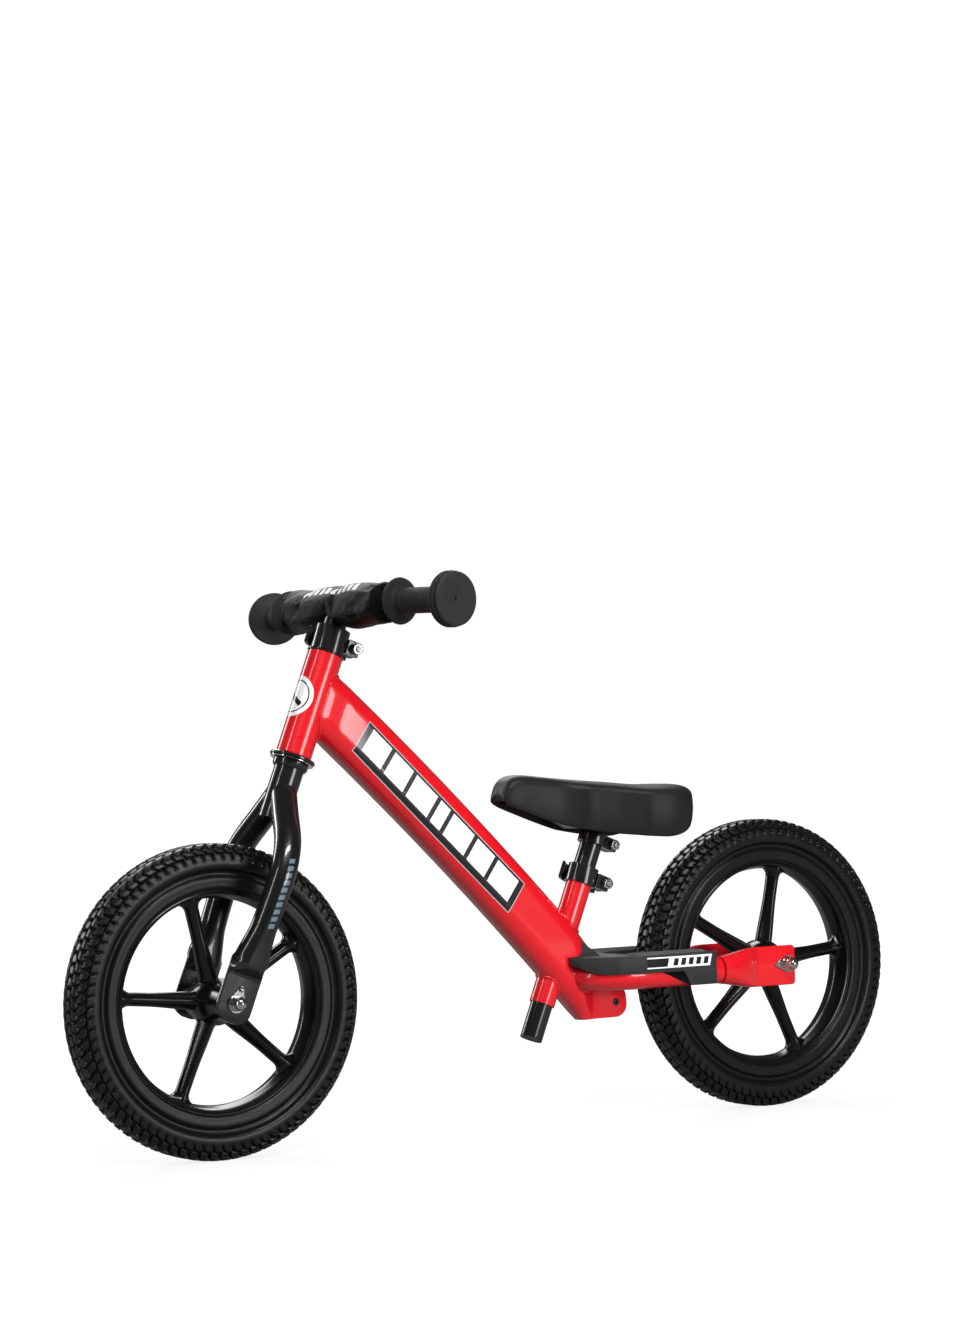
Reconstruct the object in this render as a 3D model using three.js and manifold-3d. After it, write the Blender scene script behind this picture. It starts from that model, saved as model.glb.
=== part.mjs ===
// A child's balance bike with twelve-inch wheels, in millimetres.
// X points forwards, Y to the rider's left and Z up. The origin is on the ground, midway between the axles.
import * as THREE from 'three';
import { mergeVertices } from 'three/addons/utils/BufferGeometryUtils.js';
import Module from 'manifold-3d';

const wasm = await Module();
wasm.setup();

// ---- Driving dimensions -------------------------------------------------------------------------

const GAP = 0.3; // left between two pieces that touch
const LONG = 400; // length of a cutting tool that goes right through

const WHEELBASE = 624;
const HEAD_ANGLE = 68.4; // degrees from the ground
const SEAT_ANGLE = 67.6;
const BEAM_ANGLE = 44;

const WHEEL_RADIUS = 146;
const WHEEL_SIDES = 32;
const TUBE_SIDES = 20;
const TYRE = { halfWidth: 20.8, shoulder: 13, bore: 104.8, lip: 102.3 };
const RIM = { opening: 95.2, edge: 99, lip: 102, bed: 104.5, halfWidth: 15.5, halfBed: 13 };
const SPOKES = 5;
const FRONT_PHASE = 5; // degrees of the first spoke above the forward direction
const REAR_PHASE = 30;

const AXLE = { radius: 4, halfLength: 57 };
const BEARING = { outer: 11, width: 7, inboard: 31 };
const DROPOUT = { inside: 42.5, thickness: 4 };
const SAFETY_WASHER = { radius: 8.6, reach: 17.5, thickness: 1.5 };
const AXLE_NUT = { tip: 60.8, acrossFlats: 13, hexLength: 6 };

const FORK_OFFSET = 1.9; // axle ahead of the steering axis
const STEERER = { outer: 14.3, inner: 11.5, bottom: 178, top: 369 };
const HEAD_TUBE = { outer: 17, inner: 15.6, bottom: 242, top: 344 };
const STEM = { outer: 11.1, inner: 9.3, bottom: 230, bar: 393 };
const LEG = { radius: 12.6, wall: 1.8 };

const BEAM = { halfHeight: 29.7, halfWidth: 20, corner: 18, wall: 1.8, originHeight: 239.8 };
const BEAM_BOW = { apex: 110, rate: 0.00013 }; // the beam is arched slightly upwards
const BEAM_ENDS = { low: -222, high: 292, floor: 102, rear: -144 };
const PINCH = { start: -90, end: -110, halfThickness: 4 };
const TAB_HOLE = { x: -131, z: 117, radius: 3 };

const SEAT_FOOT = { x: -46, z: 119.8 };
const SEAT_TUBE = { outer: 12.7, inner: 11.4, length: 142.6, slot: 30 };
const POST = { outer: 11.1, inner: 9.3, bottom: -34, top: 178 };

const STAY = { radius: 13.2, wall: 1.8, height: 144.6, halfSpan: 48, dropoutHalf: 20 };

const CROSSBAR_RADIUS = 8;
const BAR_BEND = { at: 85, back: 12.2, up: 3 }; // degrees beyond the bend
const GRIP_END = 98; // from the bend to the outer face
const PAD = { radius: 18, halfLength: 91 };

const COLOURS = {
  red: [0xc8102e, 0.3, 0.1],
  blackPaint: [0x0b0b0c, 0.25, 0.2],
  plastic: [0x101011, 0.35, 0],
  foam: [0x19191a, 0.7, 0],
  rubber: [0x161617, 0.75, 0],
  chrome: [0xc9c9cc, 0.2, 1],
  steel: [0x8f9094, 0.35, 1],
};

// ---- Frames of reference ------------------------------------------------------------------------

const radians = THREE.MathUtils.degToRad;

// A group whose own Z axis rises at `angle` degrees, leaning back, from the point (x, z).
function leaning(x, z, angle) {
  const group = new THREE.Group();
  group.position.set(x, 0, z);
  group.rotation.y = radians(angle - 90);
  group.updateMatrixWorld(true);
  return group;
}

const head = radians(HEAD_ANGLE);
const steering = leaning(
  WHEELBASE / 2 - FORK_OFFSET * Math.sin(head),
  WHEEL_RADIUS - FORK_OFFSET * Math.cos(head),
  HEAD_ANGLE,
);
const seating = leaning(SEAT_FOOT.x, SEAT_FOOT.z, SEAT_ANGLE);
const beaming = leaning(0, BEAM.originHeight, 180 - BEAM_ANGLE);
const ground = leaning(0, 0, 90);
const bike = new THREE.Group();
bike.add(steering, seating, beaming, ground);

function wheelCentre(x) {
  const group = new THREE.Group();
  group.position.set(x, 0, WHEEL_RADIUS);
  group.updateMatrixWorld(true);
  bike.add(group);
  return group;
}

const frontHub = wheelCentre(WHEELBASE / 2);
const rearHub = wheelCentre(-WHEELBASE / 2);

// The same shape, given in one group's frame, written in another's.
function carriedOver(geometry, from, to) {
  const matrix = new THREE.Matrix4().copy(to.matrixWorld).invert().multiply(from.matrixWorld);
  return geometry.clone().applyMatrix4(matrix);
}

function piece(group, name, geometry, [color, roughness, metalness]) {
  const material = new THREE.MeshStandardMaterial({ color, roughness, metalness });
  const mesh = new THREE.Mesh(geometry, material);
  mesh.name = name;
  group.add(mesh);
  return mesh;
}

// ---- Shape helpers ------------------------------------------------------------------------------

function toSolid(geometry) {
  const bare = geometry.clone();
  bare.deleteAttribute('normal');
  bare.deleteAttribute('uv');
  const merged = mergeVertices(bare, 1e-4);
  const vertProperties = new Float32Array(merged.attributes.position.array);
  const triVerts = new Uint32Array(merged.index.array);
  return new wasm.Manifold(new wasm.Mesh({ numProp: 3, vertProperties, triVerts }));
}

function toGeometry(solid) {
  const mesh = solid.getMesh();
  const geometry = new THREE.BufferGeometry();
  geometry.setAttribute('position', new THREE.BufferAttribute(mesh.vertProperties, 3));
  geometry.setIndex(new THREE.BufferAttribute(mesh.triVerts, 1));
  geometry.computeVertexNormals();
  return geometry;
}

function cut(geometry, ...tools) {
  return toGeometry(tools.reduce((solid, tool) => solid.subtract(toSolid(tool)), toSolid(geometry)));
}

function join(first, ...others) {
  return toGeometry(others.reduce((solid, other) => solid.add(toSolid(other)), toSolid(first)));
}

function common(first, second) {
  return toGeometry(toSolid(first).intersect(toSolid(second)));
}

function signedVolume(points, index) {
  let volume = 0;
  for (let i = 0; i < index.length; i += 3) {
    const [a, b, c] = [points[index[i]], points[index[i + 1]], points[index[i + 2]]];
    volume += a.dot(new THREE.Vector3().crossVectors(b, c)) / 6;
  }
  return volume;
}

// A closed solid stretched over rings that all have the same number of points.
function skin(rings) {
  const points = rings.flat();
  const count = rings[0].length;
  const index = [];
  for (let ring = 0; ring + 1 < rings.length; ring += 1) {
    for (let i = 0; i < count; i += 1) {
      const a = ring * count + i;
      const b = ring * count + ((i + 1) % count);
      index.push(a, b, b + count, a, b + count, a + count);
    }
  }
  const last = points.length - count;
  for (let i = 1; i + 1 < count; i += 1) {
    index.push(0, i + 1, i, last, last + i, last + i + 1);
  }
  if (signedVolume(points, index) < 0) {
    index.reverse();
  }
  const geometry = new THREE.BufferGeometry().setFromPoints(points);
  geometry.setIndex(index);
  geometry.computeVertexNormals();
  return geometry;
}

// Points of a rectangle of half sizes (a, b) with round corners, none of them doubled.
function roundedOutline(a, b, corner, perCorner) {
  const radius = Math.min(corner, a, b);
  const points = [];
  for (let i = 0; i < 4 * perCorner; i += 1) {
    const angle = ((i + 0.5) / perCorner) * (Math.PI / 2);
    const sideA = Math.sign(Math.cos(angle));
    const sideB = Math.sign(Math.sin(angle));
    points.push([
      sideA * (a - radius) + radius * Math.cos(angle),
      sideB * (b - radius) + radius * Math.sin(angle),
    ]);
  }
  return points;
}

// A bar that follows a flat route. Each stop is { at, half: [in the route's plane, across it], corner }.
function bar(stops, planeNormal, perCorner, shrink = 0) {
  const rings = stops.map((stop, i) => {
    const before = stops[Math.max(i - 1, 0)].at;
    const after = stops[Math.min(i + 1, stops.length - 1)].at;
    const direction = after.clone().sub(before).normalize();
    const sideways = new THREE.Vector3().crossVectors(planeNormal, direction);
    const [a, b] = stop.half;
    return roundedOutline(a - shrink, b - shrink, stop.corner - shrink, perCorner).map(([u, v]) =>
      stop.at.clone().addScaledVector(sideways, u).addScaledVector(planeNormal, v),
    );
  });
  return skin(rings);
}

// A solid turned about the Y axis from a closed outline of [radius, distance along Y], anticlockwise.
function turned(outline, sides, start = 0) {
  const points = [...outline, outline[0]].map(([radius, y]) => new THREE.Vector2(radius, y));
  return new THREE.LatheGeometry(points, sides, start);
}

function ringOutline(inner, outer, low, high) {
  return [[inner, low], [outer, low], [outer, high], [inner, high]];
}

// The same about the Z axis.
function turnedZ(outline, sides) {
  return turned(outline, sides).rotateX(Math.PI / 2);
}

function tubeZ(inner, outer, low, high, sides = TUBE_SIDES) {
  return turnedZ(ringOutline(inner, outer, low, high), sides);
}

function rodY(radius, low, high, sides = 12) {
  return new THREE.CylinderGeometry(radius, radius, high - low, sides).translate(0, (low + high) / 2, 0);
}

function rodZ(radius, low, high, sides = TUBE_SIDES) {
  return rodY(radius, low, high, sides).rotateX(Math.PI / 2);
}

function box([x0, y0, z0], [x1, y1, z1]) {
  const centre = [(x0 + x1) / 2, (y0 + y1) / 2, (z0 + z1) / 2];
  return new THREE.BoxGeometry(x1 - x0, y1 - y0, z1 - z0).translate(...centre);
}

function extruded(points, depth) {
  const outline = new THREE.Shape(points.map(([x, y]) => new THREE.Vector2(x, y)));
  return new THREE.ExtrudeGeometry(outline, { depth, bevelEnabled: false });
}

// An outline in X and Z given thickness along Y, centred on the mid plane.
function sideways(points, width) {
  return extruded(points, width).rotateX(Math.PI / 2).translate(0, width / 2, 0);
}

const AXIS = {
  x: new THREE.Vector3(1, 0, 0),
  y: new THREE.Vector3(0, 1, 0),
  z: new THREE.Vector3(0, 0, 1),
};

// ---- Wheels -------------------------------------------------------------------------------------

const FACET = 1 / Math.cos(Math.PI / WHEEL_SIDES); // makes the flats, not the corners, touch the radius

function turnedWheelPart(half) {
  const mirrored = half.map(([radius, y]) => [radius, -y]).reverse();
  const outline = [...mirrored, ...half].map(([radius, y]) => [radius * FACET, y]);
  return turned(outline, WHEEL_SIDES, Math.PI / WHEEL_SIDES);
}

function tyre() {
  const { halfWidth, shoulder, bore, lip } = TYRE;
  const round = [40, 90].map((degrees) => {
    const angle = radians(degrees);
    return [
      WHEEL_RADIUS - shoulder + shoulder * Math.cos(angle),
      halfWidth - shoulder + shoulder * Math.sin(angle),
    ];
  });
  const half = [
    [WHEEL_RADIUS, halfWidth - shoulder],
    ...round,
    [125.6, halfWidth],
    [116.5, 17.6],
    [lip, 16],
    [bore, RIM.halfBed],
  ];
  return turnedWheelPart(half);
}

function rimRing() {
  return turnedWheelPart([
    [RIM.bed, RIM.halfBed],
    [RIM.lip, RIM.halfWidth],
    [RIM.edge, RIM.halfWidth],
    [RIM.opening, 1],
  ]);
}

function hubShell() {
  const seat = BEARING.outer + GAP;
  const shoulder = BEARING.inboard - GAP;
  const half = [
    [21, 13],
    [16.5, 20],
    [15, 38],
    [seat, 38],
    [seat, shoulder],
    [6, shoulder],
  ];
  const mirrored = half.map(([radius, y]) => [radius, -y]).reverse();
  return turned([...mirrored, ...half], TUBE_SIDES);
}

// One spoke along +X with a ridge down the middle of each face, flared where it meets the rim.
function spoke() {
  const edge = 3.5;
  const stations = [
    { at: 12, half: 10, ridge: 12 },
    { at: 45, half: 7.8, ridge: 10 },
    { at: 78, half: 7, ridge: 8.5 },
    { at: 87, half: 8.5, ridge: 8.5 },
    { at: 93, half: 13, ridge: 9 },
    { at: 100, half: 24, ridge: 10 },
  ];
  const rings = stations.map(({ at, half, ridge }) => [
    new THREE.Vector3(at, edge, half),
    new THREE.Vector3(at, ridge, 0),
    new THREE.Vector3(at, edge, -half),
    new THREE.Vector3(at, -edge, -half),
    new THREE.Vector3(at, -ridge, 0),
    new THREE.Vector3(at, -edge, half),
  ]);
  return skin(rings);
}

function spokedWheel(phase) {
  const spokes = Array.from({ length: SPOKES }, (_, i) => {
    const angle = phase + (360 / SPOKES) * i;
    return spoke().rotateY(-radians(angle));
  });
  const boreCut = rodY(6, -40, 40, TUBE_SIDES);
  return cut(join(rimRing(), hubShell(), ...spokes), boreCut);
}

function bearing(side) {
  const low = side > 0 ? BEARING.inboard : -BEARING.inboard - BEARING.width;
  return turned(ringOutline(AXLE.radius + GAP, BEARING.outer, low, low + BEARING.width), 16);
}

function addWheel(hub, prefix, phase) {
  piece(hub, `${prefix}_tyre`, tyre(), COLOURS.foam);
  piece(hub, `${prefix}_wheel`, spokedWheel(phase), COLOURS.plastic);
  piece(hub, `${prefix}_bearing_left`, bearing(1), COLOURS.steel);
  piece(hub, `${prefix}_bearing_right`, bearing(-1), COLOURS.steel);
}

// ---- Axle hardware, the same at both ends of the bike -------------------------------------------

// A flat teardrop with a hole for the axle, its tip along +X.
function safetyWasher(low) {
  const { radius, reach, thickness } = SAFETY_WASHER;
  const outline = [];
  for (let degrees = 50; degrees <= 310; degrees += 26) {
    outline.push([radius * Math.cos(radians(degrees)), radius * Math.sin(radians(degrees))]);
  }
  outline.push([reach - 2, -2.5], [reach, 0], [reach - 2, 2.5]);
  const plate = extruded(outline, thickness).rotateX(Math.PI / 2).translate(0, low + thickness, 0);
  return cut(plate, rodY(AXLE.radius + GAP, -LONG, LONG));
}

function acornNut(low) {
  const { tip, acrossFlats, hexLength } = AXLE_NUT;
  const corner = acrossFlats / 2 / Math.cos(Math.PI / 6);
  const hex = rodY(corner, low, low + hexLength, 6);
  const domeRadius = acrossFlats / 2 - 0.4;
  const domeHeight = tip - low - hexLength;
  const steps = 4;
  const dome = [new THREE.Vector2(0, low + 1), new THREE.Vector2(domeRadius, low + 1)];
  for (let i = 0; i <= steps; i += 1) {
    const angle = (i / steps) * (Math.PI / 2);
    const radius = i === steps ? 0 : domeRadius * Math.cos(angle);
    dome.push(new THREE.Vector2(radius, low + hexLength + domeHeight * Math.sin(angle)));
  }
  const bore = rodY(AXLE.radius + GAP, low - 1, AXLE.halfLength + GAP);
  return cut(join(hex, new THREE.LatheGeometry(dome, 10)), bore);
}

// `tipAngle` is the direction of the safety washers' tips above the group's X axis.
function addAxle(group, prefix, x, tipAngle) {
  const outside = DROPOUT.inside + DROPOUT.thickness;
  const axle = rodY(AXLE.radius, -AXLE.halfLength, AXLE.halfLength).translate(x, 0, 0);
  piece(group, `${prefix}_axle`, axle, COLOURS.steel);
  for (const side of ['left', 'right']) {
    const spacerLow = BEARING.inboard + BEARING.width + GAP;
    const spacer = turned(ringOutline(AXLE.radius + GAP, 7, spacerLow, DROPOUT.inside - GAP), 12);
    const washer = safetyWasher(outside + GAP).rotateY(-radians(tipAngle));
    const nut = acornNut(outside + SAFETY_WASHER.thickness + 2 * GAP);
    for (const [name, shape, look] of [
      ['spacer', spacer, COLOURS.steel],
      ['safety_washer', washer, COLOURS.chrome],
      ['axle_nut', nut, COLOURS.chrome],
    ]) {
      const placed = side === 'right' ? mirroredY(shape) : shape;
      piece(group, `${prefix}_${name}_${side}`, placed.translate(x, 0, 0), look);
    }
  }
}

// The mirror image in the mid plane, with its faces still pointing out.
function mirroredY(geometry) {
  const copy = mergeable(geometry).scale(1, -1, 1);
  const index = Array.from(copy.index.array).reverse();
  copy.setIndex(index);
  copy.computeVertexNormals();
  return copy;
}

function mergeable(geometry) {
  const bare = geometry.clone();
  bare.deleteAttribute('normal');
  bare.deleteAttribute('uv');
  return mergeVertices(bare, 1e-4);
}

// ---- Frame --------------------------------------------------------------------------------------

// How far the beam's side stands from the mid plane at x, where its lower end is pressed flat.
function pinchedHalfWidth(x, wall) {
  const t = THREE.MathUtils.clamp((PINCH.start - x) / (PINCH.start - PINCH.end), 0, 1);
  const ease = t * t * (3 - 2 * t);
  return THREE.MathUtils.lerp(BEAM.halfWidth, PINCH.halfThickness, ease) - wall;
}

// The beam's outer surface, or with a positive `wall` its inside, in the beam's own frame.
function beamSkin(wall) {
  const stations = [];
  for (let z = BEAM_ENDS.low; z < -100; z += 20) {
    stations.push(z);
  }
  stations.push(-95, 20, 150, BEAM_ENDS.high);
  const outward = new THREE.Vector3();
  const rings = stations.map((z) => {
    const bow = BEAM_BOW.rate * (z - BEAM_BOW.apex) ** 2;
    const outline = roundedOutline(BEAM.halfHeight - wall, BEAM.halfWidth, BEAM.corner, 4);
    return outline.map(([u, v]) => {
      outward.set(u + bow, 0, z).applyMatrix4(beaming.matrixWorld);
      const half = pinchedHalfWidth(outward.x, wall);
      return new THREE.Vector3(u + bow, (v / BEAM.halfWidth) * half, z);
    });
  });
  return skin(rings);
}

function mainBeam() {
  const { floor, rear } = BEAM_ENDS;
  const corner = 14;
  const profile = [[300, floor], [300, 520], [rear - 20, 520], [rear - 20, 150], [rear, 132]];
  for (let degrees = 180; degrees <= 270; degrees += 18) {
    const angle = radians(degrees);
    profile.push([rear + corner + corner * Math.cos(angle), floor + corner + corner * Math.sin(angle)]);
  }
  const side = carriedOver(sideways(profile.reverse(), 100), ground, beaming);
  const headTool = carriedOver(rodZ(HEAD_TUBE.outer + GAP, 0, LONG), steering, beaming);
  const seatTool = carriedOver(rodZ(SEAT_TUBE.outer + GAP, -60, 200), seating, beaming);
  const holeTool = rodY(TAB_HOLE.radius, -30, 30).translate(TAB_HOLE.x, 0, TAB_HOLE.z);
  const past = carriedOver(box([0, -60, 0], [200, 60, LONG]), steering, beaming);
  const tube = cut(beamSkin(0), beamSkin(BEAM.wall), headTool, past, seatTool);
  return cut(common(tube, side), carriedOver(holeTool, ground, beaming));
}

function headsetCup(flange, sleeve) {
  const [flangeOuter, flangeLow, flangeHigh] = flange;
  const [sleeveLow, sleeveHigh] = sleeve;
  const inner = STEERER.outer + GAP;
  const outer = HEAD_TUBE.inner - GAP;
  return join(
    tubeZ(inner, flangeOuter, flangeLow, flangeHigh),
    tubeZ(inner, outer, sleeveLow, sleeveHigh),
  );
}

function stayRoute(side) {
  const { radius, height, halfSpan, dropoutHalf } = STAY;
  const flat = DROPOUT.thickness / 2;
  const middle = DROPOUT.inside + flat;
  const stops = [
    [-84, 6, radius, radius],
    [-86, 18, radius, radius],
    [-93, 31, radius, radius],
    [-108, 42, radius, radius],
    [-128, 47.3, radius, radius],
    [-160, halfSpan, radius, radius],
    [-238, halfSpan, radius, radius],
    [-250, 47.2, 10, 14.6],
    [-261, 46, 6, 17],
    [-271, middle, flat + 0.5, 18.6],
    [-278, middle, flat, dropoutHalf],
    [-318, middle, flat, dropoutHalf],
    [-321.5, middle, flat, dropoutHalf - 3],
  ];
  return stops.map(([x, y, a, b]) => ({
    at: new THREE.Vector3(x, side * y, height),
    half: [a, b],
    corner: Math.min(a, b),
  }));
}

function stay(side) {
  const route = stayRoute(side);
  const hollow = bar(route.slice(0, 8), AXIS.z, 3, STAY.wall);
  const beamTool = carriedOver(beamSkin(-GAP), beaming, ground);
  const axleTool = rodY(AXLE.radius + GAP, -LONG, LONG).translate(-WHEELBASE / 2, 0, WHEEL_RADIUS);
  return cut(bar(route, AXIS.z, 4), hollow, beamTool, axleTool);
}

function seatTube() {
  const { inner, outer, length, slot } = SEAT_TUBE;
  return cut(tubeZ(inner, outer, 0, length), box([-20, -1.5, length - slot], [0, 1.5, length + 1]));
}

const COVER = { top: 165, bottom: 143, bandBottom: 133, end: -212, bandStart: -186, halfWidth: 64 };

// The plan outline of the footrest cover's left half, from the mid plane in front round to the back.
function coverPlan() {
  const left = [
    [-66, 0],
    [-66, 24],
    [-72, 35],
    [-84, 46],
    [-102, 57],
    [-124, 62.6],
    [-145, COVER.halfWidth],
    [COVER.end, COVER.halfWidth],
    [COVER.end, 34],
    [-150, 33],
    [-136, 28],
    [-130, 16],
    [-128, 0],
  ];
  const right = left.slice(1, -1).reverse().map(([x, y]) => [x, -y]);
  return [...left, ...right].reverse();
}

function footrestCover() {
  const { top, bottom, bandBottom, end, bandStart, halfWidth } = COVER;
  const plan = extruded(coverPlan(), top - bottom).translate(0, 0, bottom);
  const bands = [1, -1].map((side) => {
    const ys = [side * 34, side * halfWidth].sort((a, b) => a - b);
    return box([end, ys[0], bandBottom], [bandStart, ys[1], top - 1]);
  });
  const hood = skin([
    [[-128, -29], [-66, -29], [-66, 29], [-128, 29]].map(([x, y]) => new THREE.Vector3(x, y, top - 4)),
    [
      new THREE.Vector3(-110, -20, top),
      new THREE.Vector3(-85, -20, 185),
      new THREE.Vector3(-85, 20, 185),
      new THREE.Vector3(-110, 20, top),
    ],
  ]);
  const beamTool = carriedOver(beamSkin(-GAP), beaming, ground);
  const seatTool = carriedOver(rodZ(SEAT_TUBE.outer + GAP, -60, 200), seating, ground);
  const stayTools = [1, -1].map((side) => bar(stayRoute(side), AXIS.z, 4, -GAP));
  const underBridge = box([-140, -40, bottom - 1], [-60, 40, top - 5]);
  return cut(join(plan, ...bands, hood), beamTool, seatTool, ...stayTools, underBridge);
}

function footrestGrip(side) {
  const outline = roundedOutline(42, 11, 4, 3);
  const strip = extruded(outline, 1).translate(-162, side * 48.5, COVER.top + GAP);
  return strip;
}

// ---- Quick-release clamps -----------------------------------------------------------------------

const CLAMP = { ear: 7.5, slot: 3, reach: 29, skewer: 2.5, skewerAt: -24, leverPin: -15, nutOut: 17 };

// A split collar about the Z axis, its two ears pointing back, from `low` to `high`.
function clampCollar(inner, outer, low, high) {
  const { ear, slot, reach, skewer, skewerAt } = CLAMP;
  const middle = (low + high) / 2;
  const ears = box([-reach, -slot / 2 - ear, middle - 7], [-inner - 1, slot / 2 + ear, middle + 7]);
  const gap = box([-reach - 1, -slot / 2, low - 1], [0, slot / 2, high + 1]);
  const bore = rodZ(inner, low - 1, high + 1);
  const skewerHole = rodY(skewer + GAP, -30, 30).translate(skewerAt, 0, middle);
  const body = join(tubeZ(inner, outer, low, high), ears);
  return cut(body, bore, gap, skewerHole);
}

// The cross pin and the rod through the ears, one forging.
function clampSkewer(middle) {
  const { skewer, skewerAt, leverPin, nutOut } = CLAMP;
  const rod = rodY(skewer, leverPin, nutOut, 12).translate(skewerAt, 0, middle);
  const pin = rodZ(2, middle - 8, middle + 8, 12).translate(skewerAt, leverPin, 0);
  return join(rod, pin);
}

function clampNut(middle) {
  const { ear, slot, skewer, skewerAt } = CLAMP;
  const low = slot / 2 + ear + GAP;
  const ring = turned(ringOutline(skewer + GAP, 5.2, low, low + 6.5), 12);
  return ring.translate(skewerAt, 0, middle);
}

// A lever that wraps forwards round the right of the collar from its pivot at the cross pin.
function clampLever(middle, radius) {
  const { skewerAt, leverPin } = CLAMP;
  const barrel = tubeZ(2 + GAP, 5, middle - 9, middle + 9, 16).translate(skewerAt, leverPin, 0);
  const stops = [new THREE.Vector3(skewerAt + 1, leverPin - 3.4, middle)];
  for (const degrees of [235, 262, 289, 316, 338]) {
    const angle = radians(degrees);
    stops.push(new THREE.Vector3(radius * Math.cos(angle), radius * Math.sin(angle), middle));
  }
  const arm = bar(stops.map((at) => ({ at, half: [1.7, 8.5], corner: 1.5 })), AXIS.z, 2);
  const yoke = rodZ(6.4, middle - 3.2, middle + 3.2, 16).translate(skewerAt, leverPin, 0);
  const pinHole = rodZ(2 + GAP, middle - 20, middle + 20, 16).translate(skewerAt, leverPin, 0);
  return cut(join(barrel, arm), yoke, pinHole);
}

function addClamp(group, prefix, inner, outer, low, high) {
  const middle = (low + high) / 2;
  piece(group, `${prefix}_clamp_collar`, clampCollar(inner, outer, low, high), COLOURS.blackPaint);
  piece(group, `${prefix}_clamp_skewer`, clampSkewer(middle), COLOURS.steel);
  piece(group, `${prefix}_clamp_nut`, clampNut(middle), COLOURS.chrome);
  piece(group, `${prefix}_clamp_lever`, clampLever(middle, outer + 5), COLOURS.blackPaint);
}

// ---- Seat ---------------------------------------------------------------------------------------

// Side view and plan of the saddle: x, underside, top, half width.
const SADDLE = [
  [-7, 325, 329, 11],
  [-13, 322, 341, 16],
  [-22, 319, 345.5, 18.5],
  [-62, 306, 338.5, 22],
  [-95, 295, 334, 31],
  [-118, 290, 332, 42],
  [-136, 286, 331.5, 51],
  [-150, 282, 331.5, 57],
  [-172, 281.5, 332, 60],
  [-192, 286, 332, 54],
  [-204, 293, 329, 41],
  [-210, 301, 322, 26],
];
const SADDLE_RECESS = { front: -88, rear: -140, halfWidth: 32, roof: 298 }; // room for the clamp

function saddleCushion() {
  const rings = SADDLE.map(([x, low, high, half]) => {
    const middle = (low + high) / 2;
    const halfHeight = (high - low) / 2;
    return roundedOutline(half, halfHeight, Math.min(12, halfHeight * 0.7), 3).map(
      ([y, z]) => new THREE.Vector3(x, y, middle + z),
    );
  });
  const { front, rear, halfWidth, roof } = SADDLE_RECESS;
  return cut(skin(rings), box([rear, -halfWidth, 200], [front, halfWidth, roof]));
}

// A thin shell under the nose that runs back into a plate in the cushion's recess.
function saddlePan() {
  const thickness = 4.5;
  const rings = SADDLE.slice(1, 5).map(([x, low, , half]) => {
    const middle = low - GAP - thickness / 2;
    return roundedOutline(half * 0.92, thickness / 2, 1.5, 2).map(
      ([y, z]) => new THREE.Vector3(x, y, middle + z),
    );
  });
  const { front, rear, halfWidth, roof } = SADDLE_RECESS;
  const top = roof - GAP;
  const inset = halfWidth - GAP;
  return join(skin(rings), box([rear + GAP, -inset, top - 4], [front - GAP, inset, top]));
}

const SADDLE_CLAMP = { low: 167, high: 179, outer: 14.4, boltAt: -18.5 };

function saddleClamp() {
  const { low, high, outer, boltAt } = SADDLE_CLAMP;
  const ears = box([boltAt - 5.5, -10, low], [-10, 10, high]);
  const slot = box([boltAt - 8, -1.2, low - 1], [0, 1.2, high + 1]);
  const bore = rodZ(POST.outer + GAP, low - 1, high + 1);
  const bolt = rodY(3 + GAP, -30, 30).translate(boltAt, 0, (low + high) / 2);
  return cut(join(tubeZ(POST.outer + GAP, outer, low, high), ears), bore, slot, bolt);
}

function saddleBolt() {
  const { low, high, boltAt } = SADDLE_CLAMP;
  const ends = [rodY(5, -14, -10 - GAP, 6), rodY(5.4, 10 + GAP, 15.5, 6)];
  return join(rodY(3, -14, 18, 12), ...ends).translate(boltAt, 0, (low + high) / 2);
}

function postPlug() {
  const flange = tubeZ(2, POST.outer, POST.bottom - 2.2, POST.bottom - GAP, 24);
  const stub = tubeZ(2, POST.inner - GAP, POST.bottom - 1, POST.bottom + 12, 24);
  return join(flange, stub);
}

// ---- Fork ---------------------------------------------------------------------------------------

function forkLegRoute(side) {
  const flat = DROPOUT.thickness / 2;
  const middle = DROPOUT.inside + flat;
  const stops = [
    [205, 4, LEG.radius, LEG.radius],
    [182, 23, LEG.radius, LEG.radius],
    [160, 42, LEG.radius, LEG.radius],
    [141, 51.5, LEG.radius, LEG.radius],
    [122, 54.5, LEG.radius, LEG.radius],
    [93, 53.5, LEG.radius, LEG.radius],
    [72, 51.5, 12.2, 12.7],
    [60, 49.3, 9.2, 14.8],
    [48, 46.8, 5.2, 17.2],
    [36, middle, flat + 0.4, 18.1],
    [29, middle, flat, 18.3],
    [-8, middle, flat, 18.3],
    [-14, middle, flat, 16],
    [-18, middle, flat, 11],
  ];
  const top = stops[0][0];
  return stops.map(([z, y, a, b]) => ({
    at: new THREE.Vector3(FORK_OFFSET * (1 - Math.max(z, 0) / top), side * y, z),
    half: [a, b],
    corner: Math.min(a, b),
  }));
}

function forkLeg(side) {
  const route = forkLegRoute(side);
  const hollow = bar(route.slice(0, 8), AXIS.x, 3, LEG.wall);
  const steererTool = rodZ(STEERER.outer + GAP, 0, LONG);
  const axleTool = rodY(AXLE.radius + GAP, -LONG, LONG).translate(FORK_OFFSET, 0, 0);
  return cut(bar(route, AXIS.x, 4), hollow, steererTool, axleTool);
}

// ---- Handlebar ----------------------------------------------------------------------------------

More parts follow.
